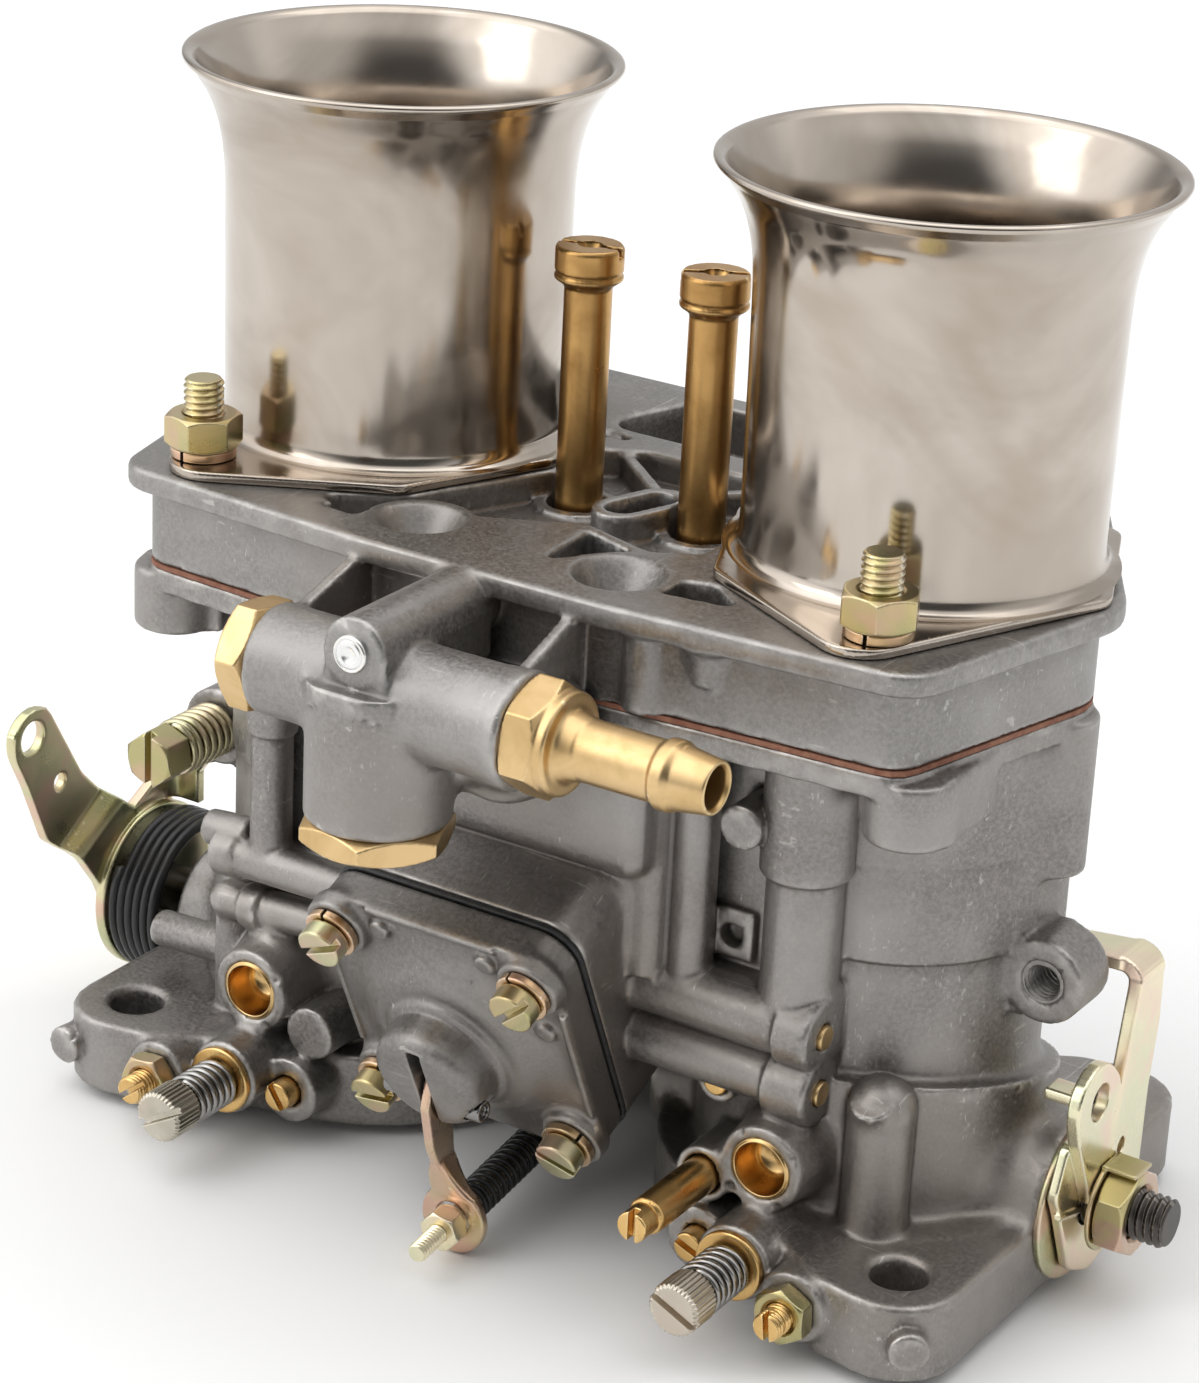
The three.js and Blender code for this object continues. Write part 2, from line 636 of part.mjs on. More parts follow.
function inletPlug() {
  const face = INLET_LEFT - SEAT_GAP;
  const head = hex([face - 4.7, INLET_Y, INLET_Z], [face, INLET_Y, INLET_Z], INLET_HEX);
  return head.add(bar([face - 0.4, INLET_Y, INLET_Z], [face + 8, INLET_Y, INLET_Z], 5.8));
}

function filterPlug() {
  const face = FILTER_BASE - SEAT_GAP;
  const head = hex([FILTER_X, INLET_Y, face - 3.9], [FILTER_X, INLET_Y, face], 19.4);
  return head.add(bar([FILTER_X, INLET_Y, face - 1], [FILTER_X, INLET_Y, face + 4], 8.2));
}

function fuelFilter() {
  const gauze = bar([FILTER_X, INLET_Y, 75.6], [FILTER_X, INLET_Y, 84], 6.4);
  return gauze.subtract(bar([FILTER_X, INLET_Y, 76.6], [FILTER_X, INLET_Y, 85], 5.6));
}

function needleSeat() {
  const outside = bar([NEEDLE_X, NEEDLE_Y, 76], [NEEDLE_X, NEEDLE_Y, 95], 4.5);
  return outside.subtract(bar([NEEDLE_X, NEEDLE_Y, 75], [NEEDLE_X, NEEDLE_Y, 96], 1.9, { sides: 16 }));
}

function needle() {
  return bar([NEEDLE_X, NEEDLE_Y, 73.4], [NEEDLE_X, NEEDLE_Y, 84], 1.6, { sides: 12 });
}

function float() {
  const [py, pz] = FLOAT_PIVOT;
  const pontoons = [-1, 1].map((s) => bar([s * 12, 19, 74.6], [s * 12, 32, 74.6], 5.6));
  const bridge = box([-12, 21, 73.6], [12, 24, 75.6]);
  const tang = box([-5.4, py - 1.4, 71.2], [5.4, 22, 72.6]);
  const link = box([-5.4, 21, 71.2], [5.4, 24, 74]);
  const knuckle = bar([-5.4, py, pz], [5.4, py, pz], 1.7, { sides: 12 });
  const bore = bar([-9, py, pz], [9, py, pz], 0.75 + RUN_GAP, { sides: 12 });
  return join([...pontoons, bridge, tang, link, knuckle]).subtract(bore);
}

function floatPin() {
  const [py, pz] = FLOAT_PIVOT;
  return bar([-9, py, pz], [9, py, pz], 0.75, { sides: 12 });
}

// ---- accelerator pump ----
function pumpCover() {
  const flange = slab(pumpOutline(), -PUMP_FLANGE_T, 0, PUMP_SCREW_HOLES);
  const domeProfile = [
    [0, 0],
    [15, 0],
    [14, 2.4],
    [11, 4],
    [0, 5],
  ];
  const dome = turned([0, -1, -1], [0, -1, 1], domeProfile, 20);
  const hood = turned([0, -1.5, -1], [0, -1.5, 1], [
    [0, 0],
    [10.4, 0],
    [10, 5.6],
    [9.2, 6.4],
    [9, 9.6],
    [7.6, 11.5],
    [5.6, 12],
    [0, 12],
  ], 28);
  const bosses = PUMP_SCREW_HOLES.map(([x, y, r]) =>
    bar([x, y, -1], [x, y, 1.9], 4.8).subtract(bar([x, y, -2], [x, y, 3], r)),
  );
  const whole = join([flange, dome, hood]).add(join(bosses));
  return cut(whole, [
    bar([0, 0, -PUMP_FLANGE_T - 1], [0, 0, -2.4], 13),
    box([-4, -7.6, -3], [4, 5.4, 7]),
    box([-1.4, -30, 1], [1.4, 6, 20]),
    bar([-9, -5.8, 8.8], [9, -5.8, 8.8], 1.7, { sides: 16 }),
  ]);
}

function pumpDiaphragm() {
  const holes = [...PUMP_SCREW_HOLES, [0, 0, 3.2]];
  return slab(pumpOutline(FIT_GAP), -PUMP_FLANGE_T - 0.9, -PUMP_FLANGE_T - 0.3, holes);
}

function pumpPlunger() {
  return turned([0, 0, -14], [0, 0, 1], [
    [0, 0],
    [2.6, 0],
    [2.6, 6],
    [9, 6],
    [9, 6.8],
    [2.6, 6.8],
    [2.6, 12.4],
    [0, 12.4],
  ]);
}

function pumpScrew(i, j) {
  const x = i * PUMP_SCREW_X;
  const y = j * PUMP_SCREW_Y;
  const head = turned([x, y, -11], [x, y, 1], [
    [0, 0],
    [2, 0],
    [2, 13],
    [4.1, 13],
    [4.1, 14.3],
    [3.4, 14.3],
    [3.4, 17],
    [3.1, 17.4],
    [0, 17.4],
  ], 20);
  return head.subtract(box([x - 5, y - 0.55, 5.1], [x + 5, y + 0.55, 8]));
}

function pumpLever() {
  const [, py, pz] = PIVOT;
  const share = (EYE_Y - ROD_TIP[1]) / (ROD_END[1] - ROD_TIP[1]);
  const [eyeX, , eyeZ] = vec(ROD_TIP).lerp(vec(ROD_END), share).toArray();
  const blade = sideSlab(
    [
      [py - 2.6, pz - 1, 1],
      [py - 2, pz + 4, 1],
      [py + 5.6, pz + 7, 1],
      [py + 7.2, pz + 3.6, 1],
      [py + 3.4, pz - 2, 1],
      [py + 5, pz - 12, 0.5],
      [py + 1.4, pz - 13, 0.5],
      [py - 1.6, pz - 8, 1],
    ],
    -0.9,
    0.9,
    [[py, pz, 1.5 + FIT_GAP]],
  );
  const twist = box([-1.2, EYE_Y - 0.9, eyeZ + 5], [3.2, EYE_Y + 0.9, pz - 11.4]);
  const eye = bar([eyeX, EYE_Y - 0.9, eyeZ], [eyeX, EYE_Y + 0.9, eyeZ], 5.6);
  const shank = box([eyeX - 3.4, EYE_Y - 0.9, eyeZ], [eyeX + 2.4, EYE_Y + 0.9, eyeZ + 7]);
  const hole = bar([eyeX, EYE_Y - 2, eyeZ], [eyeX, EYE_Y + 2, eyeZ], 3);
  return join([blade, twist, eye, shank]).subtract(hole);
}

function pumpLeverPin() {
  const [x, y, z] = PIVOT;
  return bar([x - 8.4, y, z], [x + 8.4, y, z], 1.5, { sides: 16 });
}

const rodPoint = (distance) =>
  vec(ROD_TIP)
    .addScaledVector(vec(ROD_END).sub(vec(ROD_TIP)).normalize(), distance)
    .toArray();
const ROD_LENGTH = vec(ROD_END).distanceTo(vec(ROD_TIP));

function pumpRod() {
  const stem = bar(rodPoint(0), rodPoint(ROD_LENGTH - 2), 1.5, { sides: 12 });
  const collar = bar(rodPoint(38), rodPoint(39.4), 3.1, { sides: 16 });
  const [x, y, z] = ROD_END;
  const hook = bar([x - 1.4, y, z], [x + 1.4, y, z], 2.9);
  const eye = bar([x - 3, y, z], [x + 3, y, z], 1.6 + RUN_GAP);
  return join([stem, collar, hook]).subtract(eye);
}

function pumpRodNut() {
  const bore = bar(rodPoint(4), rodPoint(13), 1.6, { sides: 12 });
  return hex(rodPoint(6.2), rodPoint(9.4), 6).subtract(bore);
}

function pumpRodSpring() {
  return coil(rodPoint(13.2), rodPoint(37.6), 2.5, 0.45, 9, 6);
}

// ---- throttle ----
function throttleShaft() {
  const stem = round([SHAFT_LEFT, 0, SHAFT_Z], [SHAFT_RIGHT, 0, SHAFT_Z], SHAFT_R);
  const slots = Object.values(SIDES).map((s) =>
    box(
      [s * BARREL_X - PLATE_R - 0.2, -6, SHAFT_Z - PLATE_T / 2 - RUN_GAP],
      [s * BARREL_X + PLATE_R + 0.2, 6, SHAFT_Z + PLATE_T / 2 + RUN_GAP],
    ),
  );
  const armX = ROD_END[0];
  const hub = bar([armX - 5.4, 0, SHAFT_Z], [armX - 1.9, 0, SHAFT_Z], 6.4);
  const web = box([armX - 5.4, -2.6, SHAFT_Z - PUMP_ARM], [armX - 1.9, 2.6, SHAFT_Z]);
  const tip = bar([armX - 5.4, 0, SHAFT_Z - PUMP_ARM], [armX - 1.9, 0, SHAFT_Z - PUMP_ARM], 2.6);
  const pin = bar([armX - 3, 0, SHAFT_Z - PUMP_ARM], [armX + 2.4, 0, SHAFT_Z - PUMP_ARM], 1.6, { sides: 16 });
  return join([cut(stem, slots), hub, web, tip, pin]);
}

function throttlePlate(s) {
  const x = s * BARREL_X;
  return round([x, 0, SHAFT_Z - PLATE_T / 2], [x, 0, SHAFT_Z + PLATE_T / 2], PLATE_R);
}

function throttleLever() {
  const disc = round([-92, 0, SHAFT_Z], [-90, 0, SHAFT_Z], 14);
  const innerCorners = [
    [8, 4, 3],
    [9.5, 20, 3],
    [3, 32.3, 1],
    [-4.5, 28.4, 1],
    [-9.6, 32.4, 0],
    [-19.8, 25.8, 0],
    [-13, 15, 2],
  ];
  const inner = sideSlab(innerCorners, -93, -91);
  const joggle = sideSlab([[-7, 30.4, 0], [-10, 32.8, 0], [-19.9, 25.7, 0], [-17.2, 23.8, 0]], -96, -91);
  const outerCorners = [
    [-8.6, 31.6, 0],
    [-13.6, 36.3, 3],
    [-22.6, 51.5, 4],
    [-28.5, 53.5, 4],
    [-31, 46.5, 4],
    [-27.3, 38.4, 0],
    [-22.9, 28.1, 0],
    [-18.6, 24.7, 0],
  ];
  const linkHoles = [
    [-26, 46.7, 2.7],
    [-19.5, 37, 1.5],
  ];
  const outer = sideSlab(outerCorners, -96, -94, linkHoles);
  const neck = box([-93, 2, 26.8], [-86, 7, 32.4]).subtract(box([-91, 0, 26], [-85, 5, 34]));
  const strip = box([-92, 5, 28], [-86, 7, 32.8]).add(box([-80, 5, 35.6], [-77, 7, 38.4])).hull();
  const riser = box([-79, 5, 37], [-71, 7, 51]);
  const bore = round([-99, 0, SHAFT_Z], [-80, 0, SHAFT_Z], SHAFT_R + 0.15);
  return join([disc, inner, joggle, outer, neck, strip, riser]).subtract(bore);
}

function returnSpring() {
  return coil([-89.6, 0, SHAFT_Z], [-79.4, 0, SHAFT_Z], 13.2, 0.85, 5, 10);
}

function stopWasher() {
  const disc = round([77.9, 0, SHAFT_Z], [78.9, 0, SHAFT_Z], 12.8);
  return disc.subtract(round([77, 0, SHAFT_Z], [80, 0, SHAFT_Z], SHAFT_R + 0.15));
}

function stopLever() {
  const baseCorners = [[-9, 15, 3], [-8, 5, 4], [0, 1.6, 4], [8, 5, 4], [9.5, 18, 3], [-4, 20, 1]];
  const base = sideSlab(baseCorners, 79.2, 80.8);
  const plate = sideSlab(
    [
      [-9, 17, 1],
      [-12.4, 30, 4],
      [-9.6, 38, 4],
      [-2, 38, 4],
      [1.4, 31, 2],
      [1.6, 49.2, 1],
      [11, 49.2, 2],
      [11.6, 12, 3],
      [2, 6, 3],
    ],
    80.4,
    82.8,
    [
      [-5.4, 30.6, 2.3],
      [3.6, 21.4, 1.1],
    ],
  );
  const tab = box([70.5, 2.6, 47], [82.8, 11, 49.2]);
  const finger = box([75.4, -8.6, 31.2], [80.8, -4.2, 33]);
  const bore = round([78, 0, SHAFT_Z], [84, 0, SHAFT_Z], SHAFT_R + 0.15);
  return join([base, plate, tab, finger]).subtract(bore);
}

function lockWasher() {
  const disc = bar([83.1, 0, SHAFT_Z], [83.7, 0, SHAFT_Z], 7);
  const web = box([83.1, -2.6, SHAFT_Z + 4.5], [83.7, 2.8, SHAFT_Z + 7.1]);
  const tab = box([83.1, -2.6, SHAFT_Z + 6.4], [88.4, 2.8, SHAFT_Z + 7.1]);
  return join([disc, tab, web]).subtract(round([82, 0, SHAFT_Z], [85, 0, SHAFT_Z], SHAFT_R + 0.15));
}

function shaftNut() {
  const nut = hex([83.9, 0, 0], [88.5, 0, 0], 12.4).rotate([30, 0, 0]).translate([0, 0, SHAFT_Z]);
  return nut.subtract(round([83, 0, SHAFT_Z], [90, 0, SHAFT_Z], SHAFT_R + 0.15));
}

// ---- adjusting screws ----
function idleSpeedScrew() {
  const [x, y, z] = [-LUG[0], LUG[1], LUG[2]];
  const stem = bar([x, y - 12, z], [x, 4.4, z], 2.6);
  const head = hex([x, y - 17.2, z], [x, y - 11.6, z], 8);
  return stem.add(head).subtract(box([x - 6, y - 18, z - 0.6], [x + 6, y - 15.8, z + 0.6]));
}

function idleSpeedSpring() {
  const [x, y, z] = [-LUG[0], LUG[1], LUG[2]];
  return coil([x, y - 11.2, z], [x, y - 0.4, z], 4.1, 0.6, 5, 7);
}

function mixtureScrew(s) {
  const x = s * BARREL_X;
  const z = MIXTURE_Z;
  const profile = [
    [0, 0],
    [3.4, 0],
    [4, 0.6],
    [4, 5.8],
    [2.6, 6.2],
    [2.2, 6.4],
    [2.2, 26],
    [0, 29],
  ];
  const head = turned([x, -56.6, z], [x, 0, z], profile, 24);
  return head.subtract(box([x - 0.6, -58, z - 6], [x + 0.6, -55.2, z + 6]));
}

function mixtureSpring(s) {
  const x = s * BARREL_X;
  return coil([x, -50, MIXTURE_Z], [x, MIXTURE_FACE - 0.3, MIXTURE_Z], 3.4, 0.5, 5, 7);
}

function bypassScrew(s) {
  const x = s * 56;
  const profile = [
    [0, 0],
    [1.8, 0],
    [2, 0.4],
    [2, 14],
    [0, 15],
  ];
  const stem = turned([x, -49.7, 6.6], [x, 0, 6.6], profile);
  return stem.subtract(box([x - 0.4, -51, 3], [x + 0.4, -48.5, 10]));
}

function bypassLocknut(s) {
  const x = s * 56;
  const nut = hex([x, -46.4, 6.6], [x, -43.2, 6.6], 7);
  return nut.subtract(bar([x, -48, 6.6], [x, -42, 6.6], 2 + RUN_GAP, { sides: 16 }));
}

// ---- materials ----
function material(color, roughness, metalness = 1) {
  return new THREE.MeshStandardMaterial({ color, roughness, metalness });
}

const CAST = [0x9c9890, 0.55];
const NICKEL = [0xd8cfc0, 0.12];
const BRASS = [0xc49a4c, 0.3];
const ZINC_YELLOW = [0xc9b87c, 0.35];
const STEEL = [0x8f8c86, 0.4];
const BLACK = [0x1c1c1e, 0.5];
const RUBBER = [0x202020, 0.8, 0];
const PAPER = [0x7a3a24, 0.9, 0];
const PLASTIC = [0x2c2620, 0.6, 0];

const root = new THREE.Group();

function place(name, made, look) {
  const mesh = made.getMesh();
  const position = new Float32Array(mesh.numVert * 3);
  for (let i = 0; i < mesh.numVert; i++) {
    position.set(mesh.vertProperties.subarray(i * mesh.numProp, i * mesh.numProp + 3), i * 3);
  }
  const geometry = new THREE.BufferGeometry();
  geometry.setAttribute("position", new THREE.BufferAttribute(position, 3));
  geometry.setIndex(new THREE.BufferAttribute(mesh.triVerts, 1));
  geometry.computeVertexNormals();
  const piece = new THREE.Mesh(geometry, material(...look));
  piece.name = name;
  root.add(piece);
}

place("throttle_body", throttleBody(), CAST);
place("cover_gasket", coverGasket(), PAPER);
place("top_cover", topCover(), CAST);
place("fuel_union", fuelUnion(), BRASS);
place("inlet_plug", inletPlug(), BRASS);
place("filter_plug", filterPlug(), BRASS);
place("fuel_filter", fuelFilter(), BRASS);
place("needle_seat", needleSeat(), BRASS);
place("inlet_needle", needle(), STEEL);
place("float", float(), PLASTIC);
place("float_pin", floatPin(), STEEL);
place("idle_jet_holder", idleJetHolder(), BRASS);

for (const [side, s] of Object.entries(SIDES)) {
  place("trumpet_" + side, trumpet(s), NICKEL);
  for (const [end, [x, y]] of Object.entries({ front: FRONT_STUD, rear: REAR_STUD })) {
    place(`trumpet_stud_${end}_${side}`, stud([s * x, y]), ZINC_YELLOW);
    place(`trumpet_nut_${end}_${side}`, studNut([s * x, y]), ZINC_YELLOW);
  }
  place("venturi_" + side, venturi(s), CAST);
  place("auxiliary_venturi_" + side, auxiliaryVenturi(s), CAST);
  place("jet_holder_" + side, jetHolder(s), BRASS);
  place("throttle_plate_" + side, throttlePlate(s), BRASS);
  place("mixture_screw_" + side, mixtureScrew(s), STEEL);
  place("mixture_spring_" + side, mixtureSpring(s), STEEL);
  place("bypass_screw_" + side, bypassScrew(s), BRASS);
  place("bypass_locknut_" + side, bypassLocknut(s), ZINC_YELLOW);
}

place("pump_cover", inPump(pumpCover()), CAST);
place("pump_diaphragm", inPump(pumpDiaphragm()), RUBBER);
place("pump_plunger", inPump(pumpPlunger()), STEEL);
for (const [row, j] of Object.entries({ upper: 1, lower: -1 })) {
  for (const [side, i] of Object.entries(SIDES)) {
    place(`pump_screw_${row}_${side}`, inPump(pumpScrew(i, j)), ZINC_YELLOW);
  }
}
place("pump_lever", pumpLever(), ZINC_YELLOW);
place("pump_lever_pin", pumpLeverPin(), STEEL);
place("pump_rod", pumpRod(), ZINC_YELLOW);
place("pump_rod_nut", pumpRodNut(), ZINC_YELLOW);
place("pump_rod_spring", pumpRodSpring(), BLACK);

place("throttle_shaft", throttleShaft(), BLACK);
place("throttle_lever", throttleLever(), ZINC_YELLOW);
place("return_spring", returnSpring(), BLACK);
place("stop_washer", stopWasher(), ZINC_YELLOW);
place("stop_lever", stopLever(), ZINC_YELLOW);
place("lock_washer", lockWasher(), ZINC_YELLOW);
place("shaft_nut", shaftNut(), ZINC_YELLOW);
place("idle_speed_screw", idleSpeedScrew(), ZINC_YELLOW);
place("idle_speed_spring", idleSpeedSpring(), ZINC_YELLOW);

root.position.y = -BRIDGE_Y;

export default root;
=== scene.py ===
"""Twin-barrel downdraught carburettor: the finished surfaces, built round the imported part.

Lengths here are millimetres.
"""

import math

import bpy
import numpy as np
import openvdb
from mathutils import Matrix, Vector


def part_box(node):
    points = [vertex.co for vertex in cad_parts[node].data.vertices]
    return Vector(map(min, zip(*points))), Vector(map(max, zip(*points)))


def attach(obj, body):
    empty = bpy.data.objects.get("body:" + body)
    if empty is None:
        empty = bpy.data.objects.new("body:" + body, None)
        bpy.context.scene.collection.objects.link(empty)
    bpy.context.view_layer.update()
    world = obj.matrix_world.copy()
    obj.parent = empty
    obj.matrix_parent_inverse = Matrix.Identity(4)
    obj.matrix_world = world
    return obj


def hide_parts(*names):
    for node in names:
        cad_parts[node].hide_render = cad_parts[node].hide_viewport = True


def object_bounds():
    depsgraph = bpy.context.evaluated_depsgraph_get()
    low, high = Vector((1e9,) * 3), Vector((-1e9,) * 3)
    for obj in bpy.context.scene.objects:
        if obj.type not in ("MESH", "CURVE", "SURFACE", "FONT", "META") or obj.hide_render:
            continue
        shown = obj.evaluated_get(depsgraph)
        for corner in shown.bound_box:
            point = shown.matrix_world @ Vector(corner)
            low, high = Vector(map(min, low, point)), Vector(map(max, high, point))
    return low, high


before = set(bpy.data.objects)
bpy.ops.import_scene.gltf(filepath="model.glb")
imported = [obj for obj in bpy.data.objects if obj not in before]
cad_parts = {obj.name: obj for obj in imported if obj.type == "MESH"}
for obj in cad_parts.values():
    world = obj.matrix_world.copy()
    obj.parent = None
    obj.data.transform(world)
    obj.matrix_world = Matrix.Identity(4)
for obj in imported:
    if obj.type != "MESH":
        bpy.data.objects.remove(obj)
bounds_at_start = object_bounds()

MM = 1000.0
STATIC = "carburettor_body"
SIDES = (("left", -1), ("right", 1))

# Shapes are laid out from the barrels' axes, which stand in front of the part's origin.
ORIGIN = np.array([0, (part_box("venturi_right")[0][1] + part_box("venturi_right")[1][1]) / 2 * MM, 0])


def corner_low(node):
    return np.array(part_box(node)[0]) * MM - ORIGIN


def corner_high(node):
    return np.array(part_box(node)[1]) * MM - ORIGIN


def middle(node):
    return (corner_low(node) + corner_high(node)) / 2


# ---- anchors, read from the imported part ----
BARREL_X = middle("venturi_right")[0]
SHAFT_Z = middle("throttle_plate_right")[2]
BODY_TOP = corner_low("cover_gasket")[2] - 0.05
COVER_BASE = corner_high("cover_gasket")[2] + 0.05
COVER_TOP = corner_low("trumpet_right")[2] - 0.05
RIM_Z = corner_high("trumpet_right")[2]
STUD_TOP = corner_high("trumpet_stud_front_right")[2]
STUDS = [middle(f"trumpet_stud_{e}_{s}")[:2] for s in ("left", "right") for e in ("front", "rear")]
JET_X, JET_Y = middle("jet_holder_right")[:2]
JET_TOP = corner_high("jet_holder_right")[2]
INLET_Y, INLET_Z = middle("fuel_union")[1:]
FILTER_X = middle("filter_plug")[0]
FILTER_BASE = corner_high("filter_plug")[2] - 3.95
LUG_Z = middle("idle_speed_screw")[2]
LUG_X = -middle("idle_speed_screw")[0]
PIVOT = middle("pump_lever_pin")
CUP_Z = 21.0
MIX_Z = middle("mixture_screw_right")[2]
BYPASS_X, _, BYPASS_Z = middle("bypass_screw_right")
IDLE_JET_X, _, IDLE_JET_Z = middle("idle_jet_holder")
INLET_LEFT, INLET_RIGHT = -22.0, 19.6
MIX_FACE = -40.6
PASSAGE_PLUGS = (41.2, 32.4)

# ---- solids held as signed distances on a grid ----
REACH = 4.0
FAR = 1000.0


def outer_box(p, q):
    """Distance from a shape that is the overlap of two."""
    return np.minimum(np.maximum(p, q), 0) + np.hypot(np.maximum(p, 0), np.maximum(q, 0))


def smooth_min(a, b, width):
    """The smaller of two distances, blended over a width."""
    if width <= 0:
        return np.minimum(a, b)
    h = np.maximum(width - np.abs(a - b), 0) / width
    return np.minimum(a, b) - h * h * width * 0.25


class Shape:
    """A distance function and the box that it stays within."""

    def __init__(self, low, high, distance):
        self.low = np.array(low, float)
        self.high = np.array(high, float)
        self.distance = distance


class Block:
    """A solid being built: distances in mm, negative inside."""

    def __init__(self, low, high, voxel):
        self.voxel = voxel
        self.low = np.array(low, float) - 2.5 * voxel
        self.count = np.ceil((np.array(high, float) - self.low) / voxel).astype(int) + 4
        self.field = np.full(self.count, FAR, np.float32)

    def window(self, shape, pad):
        first = np.floor((shape.low - pad - self.low) / self.voxel).astype(int)
        last = np.ceil((shape.high + pad - self.low) / self.voxel).astype(int) + 1
        first = np.clip(first, 0, self.count)
        last = np.clip(last, 0, self.count)
        where = tuple(slice(a, b) for a, b in zip(first, last))
        axes = [
            (self.low[i] + self.voxel * np.arange(first[i], last[i])).astype(np.float32) for i in range(3)
        ]
        x, y, z = axes
        return where, x[:, None, None], y[None, :, None], z[None, None, :]

    def add(self, shape, blend=0.0):
        where, x, y, z = self.window(shape, max(REACH, 1.5 * blend))
        if self.field[where].size:
            self.field[where] = smooth_min(self.field[where], shape.distance(x, y, z), blend)
        return self

    def cut(self, shape, blend=0.0):
        where, x, y, z = self.window(shape, max(REACH, 1.5 * blend))
        if self.field[where].size:
            self.field[where] = -smooth_min(-self.field[where], shape.distance(x, y, z), blend)
        return self

    def polygons(self, adaptivity=0.0):
        band = 3 * self.voxel
        grid = openvdb.FloatGrid(band)
        grid.copyFromArray(np.clip(self.field, -band, band))
        points, triangles, quads = grid.convertToPolygons(isovalue=0.0, adaptivity=adaptivity)
        points = points * self.voxel + self.low
        faces = [np.asarray(triangles).reshape(-1, 3), np.asarray(quads).reshape(-1, 4)]
        if signed_volume(points, faces) < 0:
            faces = [f[:, ::-1] for f in faces]
        return points, faces


def signed_volume(points, faces):
    total = 0.0
    for f in faces:
        for i in range(1, f.shape[1] - 1):
            a, b, c = points[f[:, 0]], points[f[:, i]], points[f[:, i + 1]]
            total += float(np.einsum("ij,ij->i", a, np.cross(b, c)).sum())
    return total


def bar(a, b, r, end=None, rounding=0.0):
    """A round bar or cone from a to b."""
    a, b = np.array(a, float), np.array(b, float)
    end = r if end is None else end
    length = float(np.linalg.norm(b - a))
    u = (b - a) / length
    slope = (end - r) / length
    lean = 1 / math.sqrt(1 + slope * slope)

    def distance(x, y, z):
        p = [x - a[0], y - a[1], z - a[2]]
        t = sum(p[i] * u[i] for i in range(3) if abs(u[i]) > 1e-9)
        square = 0
        for i in range(3):
            if abs(abs(u[i]) - 1) > 1e-9:
                off = p[i] if abs(u[i]) < 1e-9 else p[i] - t * u[i]
                square = square + off * off
        side = (np.sqrt(square) - (r + slope * t)) * lean
        return outer_box(side + rounding, np.abs(t - length / 2) - length / 2 + rounding) - rounding

    reach = max(r, end)
    return Shape(np.minimum(a, b) - reach, np.maximum(a, b) + reach, distance)


def box(low, high, rounding=0.0):
    low, high = np.array(low, float), np.array(high, float)
    low, high = np.minimum(low, high), np.maximum(low, high)
    mid, half = (low + high) / 2, (high - low) / 2

    def distance(x, y, z):
        q = [np.abs(p - mid[i]) - half[i] + rounding for i, p in enumerate((x, y, z))]
        outside = np.sqrt(sum(np.maximum(v, 0) ** 2 for v in q))
        return outside + np.minimum(np.maximum(np.maximum(q[0], q[1]), q[2]), 0) - rounding

    return Shape(low, high, distance)


def ball(c, r):
    c = np.array(c, float)
    return Shape(
        c - r, c + r, lambda x, y, z: np.sqrt((x - c[0]) ** 2 + (y - c[1]) ** 2 + (z - c[2]) ** 2) - r,
    )


def ring(c, axis, radius, r):
    """A torus round one of the main axes."""
    c = np.array(c, float)
    others = [i for i in range(3) if i != axis]

    def distance(x, y, z):
        p = (x - c[0], y - c[1], z - c[2])
        flat = np.sqrt(p[others[0]] ** 2 + p[others[1]] ** 2) - radius
        return np.sqrt(flat**2 + p[axis] ** 2) - r

    return Shape(c - radius - r, c + radius + r, distance)


def outline(corners, steps=6):
    """Corners (u, v, radius) as a closed run of points with each corner rounded."""
    points = []
    n = len(corners)
    for i, corner in enumerate(corners):
        here = np.array(corner[:2], float)
        r = corner[2] if len(corner) > 2 else 0
        if r <= 0:
            points.append(here)
            continue
        before = np.array(corners[i - 1][:2], float) - here
        after = np.array(corners[(i + 1) % n][:2], float) - here
        before /= np.linalg.norm(before)
        after /= np.linalg.norm(after)
        half = math.acos(max(-1, min(1, float(before @ after)))) / 2
        centre = here + (before + after) / np.linalg.norm(before + after) * (r / math.sin(half))
        start = here + before * (r / math.tan(half)) - centre
        stop = here + after * (r / math.tan(half)) - centre
        a0 = math.atan2(start[1], start[0])
        turn = (math.atan2(stop[1], stop[0]) - a0 + math.pi) % (2 * math.pi) - math.pi
        for k in range(steps + 1):
            angle = a0 + turn * k / steps
            points.append(centre + r * np.array([math.cos(angle), math.sin(angle)]))
    return np.array(points)


def flat_distance(points, u, v):
    """Signed distance from a closed outline in its own plane."""
    best = None
    sign = 1.0
    n = len(points)
    for i in range(n):
        a, b = points[i], points[i - 1]
        e = b - a
        wu, wv = u - a[0], v - a[1]
        t = np.clip((wu * e[0] + wv * e[1]) / max(float(e @ e), 1e-12), 0, 1)
        square = (wu - e[0] * t) ** 2 + (wv - e[1] * t) ** 2
        best = square if best is None else np.minimum(best, square)
        above, below = v >= a[1], v < b[1]
        left = e[0] * wv > e[1] * wu
        flip = (above & below & left) | (~above & ~below & ~left)
        sign = np.where(flip, -sign, sign)
    return sign * np.sqrt(best)


